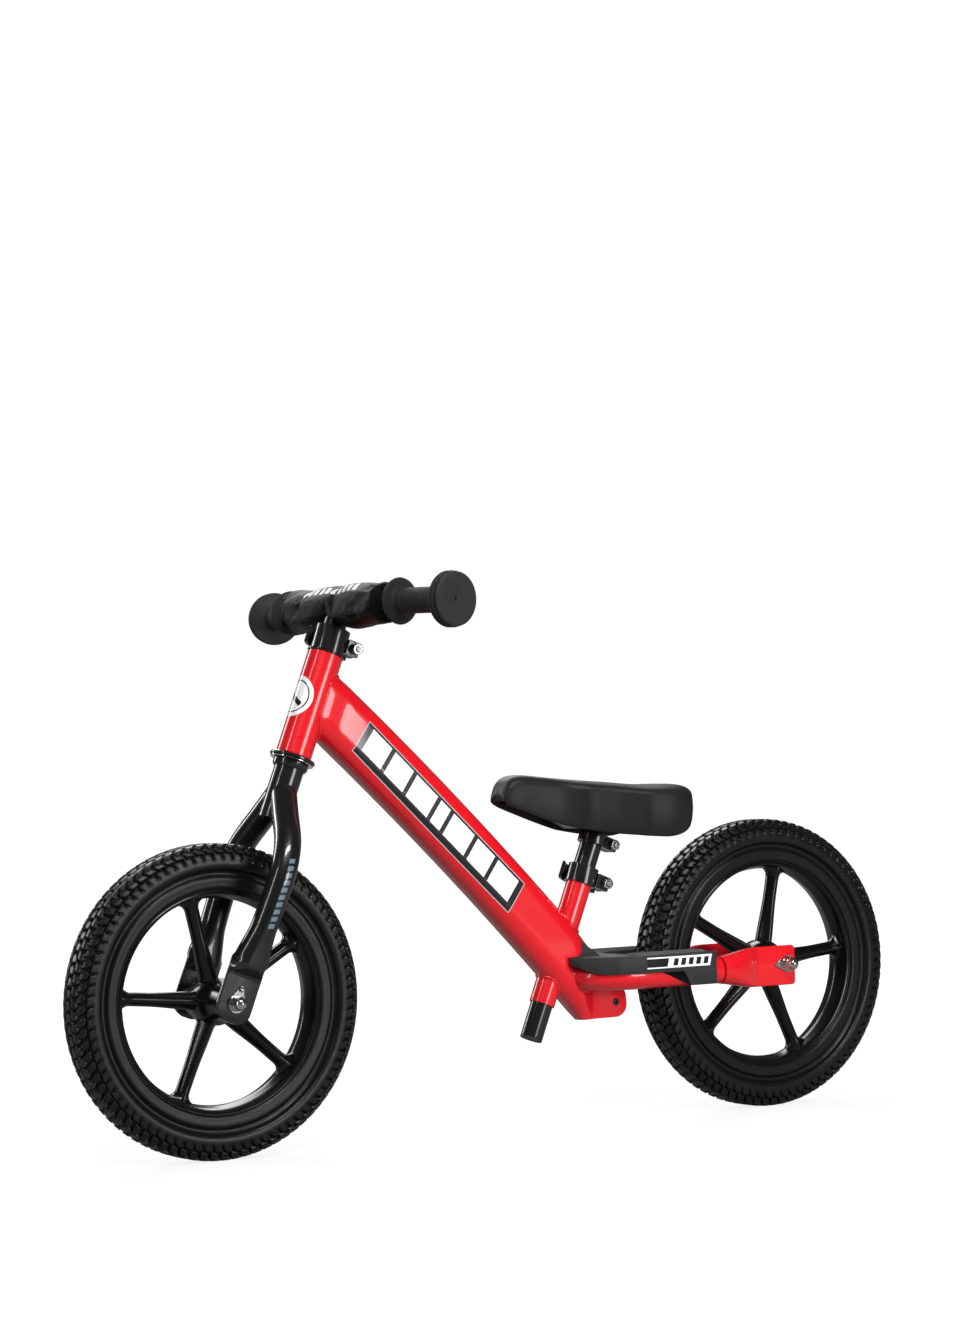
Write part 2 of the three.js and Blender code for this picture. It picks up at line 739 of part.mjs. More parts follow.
// Where the bar runs beyond its bend, `along` millimetres further out on the left.
function beyondBend(along) {
  const { at, back, up } = BAR_BEND;
  const level = Math.cos(radians(up)) * along;
  return new THREE.Vector3(
    -level * Math.sin(radians(back)),
    at + level * Math.cos(radians(back)),
    STEM.bar + along * Math.sin(radians(up)),
  );
}

// Left half of the crossbar, or with -1 the right half; the two meet at the mid plane.
function crossbarStops(side) {
  const near = [[0, 0], [0, 74], [-0.3, 80], [-1.2, 89]].map(
    ([x, y]) => new THREE.Vector3(x, y, STEM.bar - x * 0.2),
  );
  return [...near, beyondBend(18), beyondBend(GRIP_END - 6)].map(({ x, y, z }) => ({
    at: new THREE.Vector3(x, side * y, z),
    half: [CROSSBAR_RADIUS, CROSSBAR_RADIUS],
    corner: CROSSBAR_RADIUS,
  }));
}

function crossbar(shrink = 0) {
  const stops = [...crossbarStops(-1).reverse(), ...crossbarStops(1).slice(1)];
  return bar(stops, AXIS.z, 4, shrink);
}

function handlebarStem() {
  const top = STEM.bar;
  const crossTool = rodY(CROSSBAR_RADIUS + GAP, -40, 40, 20).translate(0, 0, top);
  const above = box([-30, -30, top], [30, 30, top + 30]);
  return cut(tubeZ(STEM.inner, STEM.outer, STEM.bottom, top), crossTool, above);
}

function handlebarPad() {
  const { radius, halfLength } = PAD;
  const taper = 5;
  const stops = [-halfLength, taper - halfLength, halfLength - taper, halfLength].map((y) => {
    const half = Math.abs(y) === halfLength ? radius - 3 : radius;
    return { at: new THREE.Vector3(0, y, STEM.bar - 1), half: [half, half], corner: 15 };
  });
  const barTool = crossbar(-GAP);
  const stemTool = rodZ(STEM.outer + GAP, STEM.bottom, STEM.bar);
  return cut(bar(stops, AXIS.z, 3), barTool, stemTool);
}

// A grip about the Y axis: inner flange, sleeve and a ringed bumper with a small vent in its face.
function grip() {
  const bore = CROSSBAR_RADIUS + GAP;
  const sleeve = 11.5;
  const outline = [
    [bore, 20],
    [22, 20],
    [22, 23],
    [sleeve, 25],
    [sleeve, 84],
    [26, 87.5],
    [26, 90.5],
    [24.6, 92],
    [25.6, 94.5],
    [23.5, GRIP_END],
    [1.5, GRIP_END],
    [1.5, GRIP_END - 5],
    [bore, GRIP_END - 5],
  ];
  return turned(outline, TUBE_SIDES);
}

// ---- Assembly -----------------------------------------------------------------------------------

function addFrame() {
  const { inner, outer, bottom, top } = HEAD_TUBE;
  piece(steering, 'head_tube', tubeZ(inner, outer, bottom, top), COLOURS.red);
  const upper = headsetCup([18, top + GAP, top + 2], [top - 10, top + 1]);
  piece(steering, 'upper_headset_cup', upper, COLOURS.blackPaint);
  const lower = headsetCup([22, bottom - 4, bottom - GAP], [bottom - 1, bottom + 12]);
  piece(steering, 'lower_headset_cup', lower, COLOURS.blackPaint);
  piece(beaming, 'main_beam', mainBeam(), COLOURS.red);
  piece(seating, 'seat_tube', seatTube(), COLOURS.red);
  piece(ground, 'left_stay', stay(1), COLOURS.red);
  piece(ground, 'right_stay', stay(-1), COLOURS.red);
  piece(ground, 'footrest_cover', footrestCover(), COLOURS.plastic);
  piece(ground, 'left_footrest_grip', footrestGrip(1), COLOURS.rubber);
  piece(ground, 'right_footrest_grip', footrestGrip(-1), COLOURS.rubber);
  addAxle(rearHub, 'rear', 0, 0);
  addClamp(seating, 'seat', SEAT_TUBE.outer + GAP, 15.4, 125.2, 143.4);
}

function addSeat() {
  const { outer, inner, bottom, top } = POST;
  piece(seating, 'seat_post', tubeZ(inner, outer, bottom, top), COLOURS.blackPaint);
  piece(seating, 'seat_post_plug', postPlug(), COLOURS.plastic);
  piece(seating, 'saddle_clamp', saddleClamp(), COLOURS.blackPaint);
  piece(seating, 'saddle_clamp_bolt', saddleBolt(), COLOURS.chrome);
  piece(ground, 'saddle_pan', saddlePan(), COLOURS.plastic);
  piece(ground, 'saddle_cushion', saddleCushion(), COLOURS.foam);
}

function addFork() {
  const { outer, inner, bottom, top } = STEERER;
  piece(steering, 'steerer_tube', tubeZ(inner, outer, bottom, top), COLOURS.blackPaint);
  piece(steering, 'left_fork_leg', forkLeg(1), COLOURS.blackPaint);
  piece(steering, 'right_fork_leg', forkLeg(-1), COLOURS.blackPaint);
  const seatTop = HEAD_TUBE.bottom - 4 - GAP;
  piece(steering, 'crown_washer', tubeZ(outer + GAP, 21, seatTop - 1.6, seatTop), COLOURS.chrome);
  const race = tubeZ(outer + GAP, 17, seatTop - 8, seatTop - 1.6 - GAP);
  piece(steering, 'crown_race', race, COLOURS.blackPaint);
  addAxle(steering, 'front', FORK_OFFSET, 90);
  addClamp(steering, 'stem', outer + GAP, 16.8, HEAD_TUBE.top + 2 + GAP, 370.5);
}

function addHandlebar() {
  piece(steering, 'handlebar_stem', handlebarStem(), COLOURS.blackPaint);
  piece(steering, 'handlebar_crossbar', crossbar(), COLOURS.blackPaint);
  piece(steering, 'handlebar_pad', handlebarPad(), COLOURS.rubber);
  for (const [name, side] of [['left_grip', 1], ['right_grip', -1]]) {
    const mesh = piece(steering, name, grip(), COLOURS.rubber);
    const outward = beyondBend(1).sub(beyondBend(0));
    mesh.position.set(0, side * BAR_BEND.at, STEM.bar);
    mesh.quaternion.setFromUnitVectors(AXIS.y, outward.setY(side * outward.y));
  }
}

addFrame();
addSeat();
addFork();
addHandlebar();
addWheel(frontHub, 'front', FRONT_PHASE);
addWheel(rearHub, 'rear', REAR_PHASE);

export default bike;
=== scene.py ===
"""The looks of a child's balance bike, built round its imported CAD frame.

Shapes are written in millimetres and become metres in mesh_from(). X is forwards, Y is the rider's left
and Z is up.
"""

from math import atan2, ceil, copysign, cos, exp, hypot, pi, radians, sin, sqrt

import bmesh
import bpy
import numpy as np
from mathutils import Matrix, Vector
from mathutils.bvhtree import BVHTree


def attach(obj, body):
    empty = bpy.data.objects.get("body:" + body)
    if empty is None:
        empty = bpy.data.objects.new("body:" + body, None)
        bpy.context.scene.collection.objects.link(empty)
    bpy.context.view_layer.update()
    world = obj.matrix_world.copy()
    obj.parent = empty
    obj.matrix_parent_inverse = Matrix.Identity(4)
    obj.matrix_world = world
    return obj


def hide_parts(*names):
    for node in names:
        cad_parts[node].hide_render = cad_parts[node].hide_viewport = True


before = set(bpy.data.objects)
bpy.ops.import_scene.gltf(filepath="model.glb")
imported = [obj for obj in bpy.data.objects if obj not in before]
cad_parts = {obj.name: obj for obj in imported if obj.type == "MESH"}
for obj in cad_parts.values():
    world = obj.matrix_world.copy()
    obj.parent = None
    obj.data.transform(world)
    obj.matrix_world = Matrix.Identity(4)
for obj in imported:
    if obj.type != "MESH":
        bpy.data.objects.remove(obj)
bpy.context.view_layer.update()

# ---- Driving dimensions: the CAD part's, with a longer ease into the beam's pressed end ----

MM = 0.001
WHEEL_RADIUS = 146
AXLE_X = 312
SIDES = 64  # of a round tube
WHEEL_SIDES = 180
BEAM = {"half_height": 29.7, "half_width": 20, "corner": 18, "apex": 110, "bow": 0.00013}
BEAM_ENDS = {"low": -222, "high": 292, "floor": 102, "rear": -144, "corner": 14}
PINCH = {"start": -75, "end": -110, "half": 4}
TAB_HOLE = {"x": -131, "z": 117, "radius": 3}
HEAD_TUBE = {"outer": 17, "inner": 15.6, "bottom": 242, "top": 344}
STEERER = {"outer": 14.3, "inner": 11.5, "bottom": 178, "top": 369}
STEM = {"outer": 11.1, "inner": 9.3, "bottom": 230, "bar": 393}
SEAT_TUBE = {"outer": 12.7, "inner": 11.4, "length": 142.6, "slot": 30}
POST = {"outer": 11.1, "inner": 9.3, "bottom": -34, "top": 178}
STAY = {"radius": 13.2, "height": 144.6, "half_span": 48, "dropout_half": 20}
DROPOUT = {"inside": 42.5, "thickness": 4}
FORK_OFFSET = 1.9
BAR = {"radius": 8, "bend_at": 85, "back": 12.2, "up": 3, "grip_end": 98}
PAD = {"radius": 18, "half_length": 91, "x": -1, "z": 392.5, "swell": 1.6}
PUFF = {"voxel": 4, "held": 6, "pressure": 4, "steps": 20, "cap": 2.4}  # the cloth simulation's
PAD_TAPER = 0.06  # share of the radius lost from the middle to the left end
PAD_LUMP = {"rise": 0.26, "at": 36, "width": 24}  # the fuller places on each side of the stem
PAD_NOTCH = {"drop": 0.34, "width": 13}  # the hollow over the stem
HEM = {"from_end": 6.5, "width": 6}
SEAM = {"from_end": 7.3, "turn": -40, "step": 1.8}  # beside each hem, and along the flap at an angle
FLAP = {"end": -47, "loose_from": -22, "ripple": 3, "lift": 0.5, "loose_lift": 1.7, "thickness": 1.1}
PHASE = {"front": 5, "rear": 30}
SPOKES = 5


def leaning(x, z, angle):
    """The frame whose own Z axis rises at `angle` degrees, leaning back, from the point (x, z)."""
    return Matrix.Translation((x, 0, z)) @ Matrix.Rotation(radians(angle - 90), 4, "Y")


GROUND = Matrix.Identity(4)
STEERING = leaning(310.23, 145.3, 68.4)
STEERING_INVERSE = STEERING.inverted()
SEATING = leaning(-46, 119.8, 67.6)
BEAMING = leaning(0, 239.8, 136)
AT_HOLE = Matrix.Translation((TAB_HOLE["x"], 0, TAB_HOLE["z"]))
HUBS = {
    "front": Matrix.Translation((AXLE_X, 0, WHEEL_RADIUS)),
    "rear": Matrix.Translation((-AXLE_X, 0, WHEEL_RADIUS)),
}

# ---- Shape helpers: a part is (points, faces) ----


def smoothstep(low, high, value):
    t = np.clip((value - low) / (high - low), 0, 1)
    return t * t * (3 - 2 * t)


def spline(stops, per):
    """Rows of numbers joined by a Catmull-Rom curve, with `per` steps from each row to the next."""
    rows = np.array(stops, float)
    padded = np.vstack([2 * rows[0] - rows[1], rows, 2 * rows[-1] - rows[-2]])
    made = []
    for i in range(len(rows) - 1):
        a, b, c, d = padded[i : i + 4]
        for t in np.arange(per) / per:
            curve = (2 * a - 5 * b + 4 * c - d) * t**2 + (3 * b - a - 3 * c + d) * t**3
            made.append(0.5 * (2 * b + (c - a) * t + curve))
    return np.array(made + [rows[-1]])


def turns(count):
    """Angles in even steps once round a circle."""
    return [2 * pi * i / count for i in range(count)]


def circle(centre, along, hint, radius, count):
    """Points round a circle whose axis is `along`, starting off to the side of `hint`."""
    side = along.cross(Vector(hint)).normalized()
    other = along.cross(side)
    return [Vector(centre) + radius * (side * cos(t) + other * sin(t)) for t in turns(count)]


def rounded(a, b, corner, per_corner, straight=0):
    """Points of a rectangle of half sizes (a, b) with round corners, and `straight` more along each side."""
    radius = min(corner, a, b)
    made = []
    for i in range(4 * per_corner):
        angle = (i + 0.5) / per_corner * pi / 2
        x = copysign(a - radius, cos(angle)) + radius * cos(angle)
        y = copysign(b - radius, sin(angle)) + radius * sin(angle)
        made.append((x, y))
        if (i + 1) % per_corner == 0:
            made.append(None)
    points = []
    for i, point in enumerate(made):
        if point:
            points.append(point)
            continue
        (x0, y0), (x1, y1) = made[i - 1], made[(i + 1) % len(made)]
        for k in range(1, straight + 1):
            share = k / (straight + 1)
            points.append((x0 + (x1 - x0) * share, y0 + (y1 - y0) * share))
    return points


def loft(rings, closed=False):
    """A skin over rings that have the same number of points. It has flat ends, or joins up if closed."""
    count = len(rings[0])
    points = [tuple(p) for ring in rings for p in ring]
    faces = []
    for r in range(len(rings) if closed else len(rings) - 1):
        a, b = r * count, (r + 1) % len(rings) * count
        for i in range(count):
            j = (i + 1) % count
            faces.append((a + i, a + j, b + j, b + i))
    if not closed:
        faces.append(tuple(reversed(range(count))))
        faces.append(tuple(range(len(points) - count, len(points))))
    return points, faces


def lathe(profile, sides=SIDES, axis="Z"):
    """A closed outline of (radius, height) turned about Z, or about Y."""
    rings = []
    for radius, height in profile:
        ring = [(radius * cos(t), radius * sin(t)) for t in turns(sides)]
        rings.append([(x, y, height) if axis == "Z" else (x, height, -y) for x, y in ring])
    return loft(rings, closed=True)


def tube(size, low, high, edge=0.4, sides=SIDES):
    """A round tube about Z with chamfered ends."""
    inner, outer = size["inner"], size["outer"]
    return lathe(
        [
            (inner, low + edge), (inner + edge, low), (outer - edge, low), (outer, low + edge),
            (outer, high - edge), (outer - edge, high), (inner + edge, high), (inner, high - edge),
        ],
        sides,
    )


def lathe_both(half, sides):
    """A closed outline turned about Y, from its half on the left of the middle plane."""
    return lathe(half + [(radius, -y) for radius, y in reversed(half) if y], sides, "Y")


def block(low, high):
    """A box from its lowest to its highest corner."""
    (x0, y0, z0), (x1, y1, z1) = low, high
    return loft([[(x0, y0, z), (x1, y0, z), (x1, y1, z), (x0, y1, z)] for z in (z0, z1)])


def prism(outline, low, high):
    """An outline in X and Z given thickness along Y."""
    return loft([[(x, y, z) for x, z in outline] for y in (low, high)])


def moved(part, matrix):
    points, faces = part
    return [tuple(matrix @ Vector(p)) for p in points], faces


def mirrored(part):
    points, faces = part
    return [(x, -y, z) for x, y, z in points], faces


def bead(path, radius):
    """A round weld bead along a closed path."""
    rings = []
    for i, at in enumerate(path):
        along = (Vector(path[(i + 1) % len(path)]) - Vector(path[i - 1])).normalized()
        rings.append(circle(at, along, (0.31, 0.87, 0.38), radius, 10))
    return loft(rings, closed=True)


def cylinder(radius, low, high):
    """The outline of a plain cylinder, for lathe."""
    return [(0, low), (radius, low), (radius, high), (0, high)]


def mesh_from(name, parts, matrix):
    graph = bmesh.new()
    for points, faces in parts:
        made = [graph.verts.new(matrix @ Vector(p) * MM) for p in points]
        for face in faces:
            graph.faces.new([made[i] for i in face])
    bmesh.ops.remove_doubles(graph, verts=graph.verts, dist=0.002 * MM)
    bmesh.ops.recalc_face_normals(graph, faces=graph.faces)
    mesh = bpy.data.meshes.new(name)
    graph.to_mesh(mesh)
    graph.free()
    return mesh


def shade(mesh, sharp):
    """Smooth shading, with edges left sharp where faces meet at more than `sharp` degrees."""
    mesh.shade_smooth()
    mesh.set_sharp_from_angle(angle=radians(sharp))


def placed(name, data):
    """A new object in the scene, with the mesh, light or camera that it shows."""
    made = bpy.data.objects.new(name, data)
    bpy.context.scene.collection.objects.link(made)
    return made


def solid(name, parts, matrix=GROUND):
    """A bare object, for pieces and for cutting tools."""
    return placed(name, mesh_from(name, parts, matrix))


def apply_modifiers(piece):
    bpy.context.view_layer.update()
    graph = bpy.context.evaluated_depsgraph_get()
    mesh = bpy.data.meshes.new_from_object(piece.evaluated_get(graph))
    piece.modifiers.clear()
    piece.data = mesh


def carve(piece, part, matrix=GROUND, operation="DIFFERENCE"):
    """Cuts a part out of the piece, or joins it on, or keeps what both share."""
    tool = solid("tool", [part], matrix)
    cut = piece.modifiers.new("cut", "BOOLEAN")
    cut.operation = operation
    cut.solver = "EXACT"
    cut.object = tool
    apply_modifiers(piece)
    bpy.data.objects.remove(tool)


def round_edges(piece, width, sharp):
    edge = piece.modifiers.new("edge", "BEVEL")
    edge.width = width * MM
    edge.segments = 2
    edge.angle_limit = radians(sharp)


def subdivide(piece):
    smooth = piece.modifiers.new("smooth", "SUBSURF")
    smooth.levels = smooth.render_levels = 1


def put_on(piece, look):
    piece.data.materials.clear()
    piece.data.materials.append(LOOKS[look][0])


def finish_piece(piece, look, body, sharp=35, bevel=0, replaces=None):
    """Gives a piece its look and its body, and hides the CAD node that it stands for."""
    if bevel:
        round_edges(piece, bevel, sharp)
        apply_modifiers(piece)
    put_on(piece, look)
    shade(piece.data, sharp)
    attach(piece, body)
    if replaces:
        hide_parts(replaces)
    return piece


def build(name, parts, look, body, matrix=GROUND, **how):
    return finish_piece(solid(name, parts, matrix), look, body, **how)


def build_pair(name, part, look, body, matrix=GROUND, **how):
    """A part on the left and its mirror image on the right, each for the CAD node of its side."""
    for side, shape in (("left", part), ("right", mirrored(part))):
        build(f"{side}_{name}_painted", [shape], look, body, matrix, replaces=f"{side}_{name}", **how)


def dress(node, look, bevel=0.4):
    """Gives a CAD node that keeps its shape rounded edges and a material."""
    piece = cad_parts[node]
    put_on(piece, look)
    weld = piece.modifiers.new("weld", "WELD")
    weld.merge_threshold = 0.01 * MM
    round_edges(piece, bevel, 30)
    piece.data.shade_smooth()
    normals = piece.modifiers.new("normals", "WEIGHTED_NORMAL")
    normals.keep_sharp = True


# ---- Materials ----


class Look:
    """A material under construction: a Principled shader and the nodes that feed it."""

    def __init__(self, name, colour, roughness, **uniform):
        self.material = bpy.data.materials.new(name)
        self.material.use_nodes = True
        self.tree = self.material.node_tree
        self.shader = self.tree.nodes["Principled BSDF"]
        self.shader.inputs["Base Color"].default_value = (*colour, 1)
        self.shader.inputs["Roughness"].default_value = roughness
        for socket, value in uniform.items():
            self.shader.inputs[socket.replace("_", " ")].default_value = value
        self.place = self.node("ShaderNodeTexCoord").outputs["Object"]
        self.height = None

    def node(self, kind, inputs=None, **settings):
        made = self.tree.nodes.new(kind)
        for name, value in settings.items():
            setattr(made, name, value)
        for key, value in (inputs or {}).items():
            socket = made.inputs[key]
            if isinstance(value, bpy.types.NodeSocket):
                self.tree.links.new(value, socket)
            else:
                socket.default_value = value
        return made

    def feed(self, socket, value):
        self.tree.links.new(value, self.shader.inputs[socket])

    def math(self, operation, *values):
        node = self.node("ShaderNodeMath", dict(enumerate(values)), operation=operation)
        return node.outputs[0]

    def axis(self, matrix, column):
        """Millimetres along one of a frame's own axes, from its origin."""
        direction = Vector(matrix.col[column][:3])
        shift = -direction.dot(matrix.translation)
        dot = self.node(
            "ShaderNodeVectorMath", {0: self.place, 1: tuple(direction / MM)}, operation="DOT_PRODUCT"
        )
        return self.math("ADD", dot.outputs["Value"], shift)

    def noise(self, size, detail=3.0):
        """Smooth noise from 0 to 1 with features of about `size` millimetres."""
        inputs = {"Vector": self.place, "Scale": 1 / (size * MM), "Detail": detail}
        return self.node("ShaderNodeTexNoise", inputs).outputs[0]

    def cells(self, size):
        """0 in the middle of each of many small cells, rising towards its edge."""
        inputs = {"Vector": self.place, "Scale": 1 / (size * MM)}
        return self.node("ShaderNodeTexVoronoi", inputs).outputs["Distance"]

    def spread(self, value, low, high):
        """A value from 0 to 1 mapped to low..high."""
        node = self.node("ShaderNodeMapRange", {"Value": value, "To Min": low, "To Max": high})
        return node.outputs["Result"]

    def within(self, value, low, high):
        """1 where low < value < high, else 0."""
        above = self.math("GREATER_THAN", value, low)
        below = self.math("LESS_THAN", value, high)
        return self.math("MULTIPLY", above, below)

    def mix(self, share, first, second):
        """The first colour where share is 0 and the second where it is 1."""
        colours = [c if isinstance(c, bpy.types.NodeSocket) else (*c, 1) for c in (first, second)]
        inputs = {0: share, 6: colours[0], 7: colours[1]}
        return self.node("ShaderNodeMix", inputs, data_type="RGBA").outputs[2]

    def length(self, first, second):
        squares = [self.math("MULTIPLY", value, value) for value in (first, second)]
        return self.math("SQRT", self.math("ADD", *squares))

    def rough(self, size, low, high):
        """Roughness that wanders between two values."""
        self.feed("Roughness", self.spread(self.noise(size), low, high))

    def vary(self, first, second, size):
        """Base colour that wanders softly between two colours."""
        colour = self.mix(self.noise(size), first, second)
        self.feed("Base Color", colour)
        return colour

    def bump(self, height, depth, strength=1.0):
        """Relief of `depth` millimetres, on top of any relief already there."""
        inputs = {"Height": height, "Distance": depth * MM, "Strength": strength}
        if self.height is not None:
            inputs["Normal"] = self.height
        self.height = self.node("ShaderNodeBump", inputs).outputs["Normal"]
        self.feed("Normal", self.height)


RED = (0.7, 0.0055, 0.013)
RED_DEEP = (0.62, 0.004, 0.01)
BLACK = (0.004, 0.004, 0.0045)
BLACK_SOFT = (0.006, 0.006, 0.0065)
INK = (0.006, 0.006, 0.007)
WHITE = (0.86, 0.87, 0.88)
GREY = (0.45, 0.46, 0.48)
BLUE_GREY = (0.12, 0.17, 0.21)

# Made-up markings, in millimetres, except that the wrap's go round by an angle in radians. A row of blocks
# leans by `slant` along for each step across.
BEAM_MARK = {
    "start": -8, "widths": (31, 26, 31, 14, 31, 27, 27), "gap": 5, "blocks": (-10, 13.6),
    "band": (-12.1, 19.8), "before": 6.7, "after": 7.2, "outline": 0.8, "slant": 0.15,
}
BADGE = {
    "height": 296, "discs": [(20.5, WHITE), (16.5, BLACK), (15.2, WHITE)],
    "bar": (-4.5, 1), "reach": 12.5, "slant": 0.6,
}
FORK_MARK = {"start": 73, "pitch": 7, "width": 4.4, "count": 10, "across": (-2.8, 3.2), "slant": 0.35}
WRAP_MARK = {"start": -48, "pitch": 11, "width": 7.5, "count": 10, "across": (0.36, 0.88), "slant": 8}
COVER_MARKS = [  # the plate, its bars and its hollow
    ({"start": -166, "pitch": 0, "width": 79, "count": 1, "across": (151.5, 162.5), "slant": 0.25}, WHITE),
    ({"start": -163, "pitch": 9, "width": 5.5, "count": 5, "across": (153.5, 160.5), "slant": 0.25}, BLACK),
    ({"start": -115, "pitch": 0, "width": 26, "count": 1, "across": (152.8, 161.2), "slant": 0.25}, BLACK),
]


def paint(name, first, second):
    """Gloss enamel under a clear coat, with a faint orange peel."""
    look = Look(name, first, 0.28, Coat_Weight=1.0, Coat_Roughness=0.04, Specular_IOR_Level=0.5)
    look.colour = look.vary(first, second, 60)
    look.rough(9, 0.24, 0.34)
    look.bump(look.noise(40, 1), 0.03)
    return look


def blocks(look, u, v, edges, across, slant):
    """1 on a row of slanted blocks: pairs of edges along u, between two limits across v."""
    sheared = look.math("ADD", u, look.math("MULTIPLY", v, slant))
    total = None
    for start, stop in edges:
        inside = look.within(sheared, start, stop)
        total = inside if total is None else look.math("MAXIMUM", total, inside)
    return look.math("MULTIPLY", total, look.within(v, *across))


def even_blocks(look, u, v, mark):
    """1 on a row of blocks of one width, evenly spaced."""
    starts = [mark["start"] + mark["pitch"] * i for i in range(mark["count"])]
    edges = [(start, start + mark["width"]) for start in starts]
    return blocks(look, u, v, edges, mark["across"], mark["slant"])


def outside(look, distance):
    """1 further than a distance from the middle plane."""
    return look.math("GREATER_THAN", look.math("ABSOLUTE", look.axis(GROUND, 1)), distance)


def beam_paint():
    """Red paint with a made-up graphic: white slanted blocks on one black band with a thin grey outline."""
    look = paint("beam_paint", RED, RED_DEEP)
    u, v = look.axis(BEAMING, 2), look.axis(BEAMING, 0)
    edges = []
    start = BEAM_MARK["start"]
    for width in BEAM_MARK["widths"]:
        edges.append((start, start + width))
        start += width + BEAM_MARK["gap"]
    first, last = edges[0][0] - BEAM_MARK["before"], edges[-1][1] + BEAM_MARK["after"]
    low, high = BEAM_MARK["band"]
    slant = BEAM_MARK["slant"]
    colour = look.colour
    for grow, tone in ((BEAM_MARK["outline"], GREY), (0, INK)):
        band = blocks(look, u, v, [(first - grow, last + grow)], (low - grow, high + grow), slant)
        colour = look.mix(band, colour, tone)
    colour = look.mix(blocks(look, u, v, edges, BEAM_MARK["blocks"], slant), colour, WHITE)
    look.feed("Base Color", colour)
    return look


def head_paint():
    """Red paint with a plain round badge on the front of the head tube."""
    look = paint("head_paint", RED, RED_DEEP)
    angle = look.math("ARCTAN2", look.axis(GROUND, 1), look.axis(STEERING, 0))
    across = look.math("MULTIPLY", angle, HEAD_TUBE["outer"])
    up = look.math("SUBTRACT", look.axis(STEERING, 2), BADGE["height"])
    radius = look.length(across, up)
    colour = look.colour
    for limit, tone in BADGE["discs"]:
        colour = look.mix(look.math("LESS_THAN", radius, limit), colour, tone)
    tilted = look.math("ADD", up, look.math("MULTIPLY", across, BADGE["slant"]))
    near = look.math("LESS_THAN", radius, BADGE["reach"])
    bar = look.math("MULTIPLY", near, look.within(tilted, *BADGE["bar"]))
    look.feed("Base Color", look.mix(bar, colour, BLACK))
    return look


def fork_paint():
    """Black paint with a row of pale slanted bars down the outside of each leg."""
    look = paint("fork_paint", BLACK, BLACK_SOFT)
    bars = even_blocks(look, look.axis(STEERING, 2), look.axis(STEERING, 0), FORK_MARK)
    look.feed("Base Color", look.mix(look.math("MULTIPLY", bars, outside(look, 52)), look.colour, BLUE_GREY))
    return look


def wheel_plastic():
    """Smooth black nylon."""
    look = Look("wheel_plastic", BLACK, 0.2, Specular_IOR_Level=0.5)
    look.vary((0.002, 0.002, 0.0022), (0.004, 0.004, 0.0043), 25)
    look.rough(12, 0.14, 0.26)
    look.bump(look.noise(1.2, 2), 0.02)
    return look


def tyre_foam():
    """Closed-cell foam: fine skin grain with scuffed, slightly greyer patches."""
    look = Look("tyre_foam", (0.004, 0.004, 0.004), 0.36, Specular_IOR_Level=0.5)
    look.vary((0.002, 0.002, 0.002), (0.006, 0.006, 0.0056), 18)
    look.rough(6, 0.24, 0.4)
    look.bump(look.cells(0.9), 0.05)
    look.bump(look.noise(4, 4), 0.12)
    return look


def cover_plastic():
    """Textured plastic with a made-up label on the outer side of each footrest."""
    look = Look("cover_plastic", (0.035, 0.036, 0.038), 0.5, Specular_IOR_Level=0.45)
    colour = look.vary((0.018, 0.0186, 0.0195), (0.027, 0.0277, 0.029), 22)
    x, z, outer = look.axis(GROUND, 0), look.axis(GROUND, 2), outside(look, 63)
    for mark, tone in COVER_MARKS:
        colour = look.mix(look.math("MULTIPLY", outer, even_blocks(look, x, z, mark)), colour, tone)
    look.feed("Base Color", colour)
    look.rough(5, 0.42, 0.58)
    look.bump(look.cells(0.7), 0.04)
    return look


def rubber(name, tone):
    """Dull rubber with a fine grain, of one grey."""
    look = Look(name, (tone,) * 3, 0.62, Specular_IOR_Level=0.3)
    look.vary((tone * 0.8,) * 3, (tone * 1.3,) * 3, 14)
    look.rough(4, 0.5, 0.7)
    look.bump(look.cells(0.6), 0.03)
    return look


def saddle_skin():
    """Moulded skin with a pebbled leather grain."""
    look = Look("saddle_skin", (0.01, 0.01, 0.01), 0.45, Specular_IOR_Level=0.35)
    look.vary((0.008, 0.008, 0.0083), (0.014, 0.014, 0.0143), 30)
    look.rough(14, 0.38, 0.5)
    look.bump(look.cells(1.1), 0.05, 0.7)
    look.bump(look.noise(40, 2), 0.3)
    return look


def pad_fabric():
    """Woven nylon: two crossing sets of threads, round and along the bar, and a row of pale bars."""
    look = Look("pad_fabric", (0.003, 0.003, 0.0034), 0.42, Specular_IOR_Level=0.12)
    colour = look.vary((0.0016, 0.0016, 0.0018), (0.004, 0.004, 0.0043), 9)
    along, up, fore = (look.axis(GROUND, column) for column in (1, 2, 0))
    threads = [look.math("SINE", look.math("MULTIPLY", value, 7)) for value in (along, up, fore)]
    look.bump(look.math("MULTIPLY", threads[0], look.math("ADD", threads[1], threads[2])), 0.06)
    look.bump(look.noise(11, 2), 0.5)
    rise = look.math("SUBTRACT", look.axis(STEERING, 2), PAD["z"])
    forward = look.math("SUBTRACT", look.axis(STEERING, 0), PAD["x"])
    bars = even_blocks(look, along, look.math("ARCTAN2", rise, forward), WRAP_MARK)
    look.feed("Base Color", look.mix(bars, colour, (0.62, 0.62, 0.63)))
    return look


def metal(name, tone, low, high):
    """Bare metal, its roughness between two values."""
    look = Look(name, tone, low, Metallic=1.0)
    look.vary(tuple(0.92 * c for c in tone), tone, 6)
    look.rough(3, low, high)
    look.bump(look.noise(1.5, 2), 0.01)
    return look


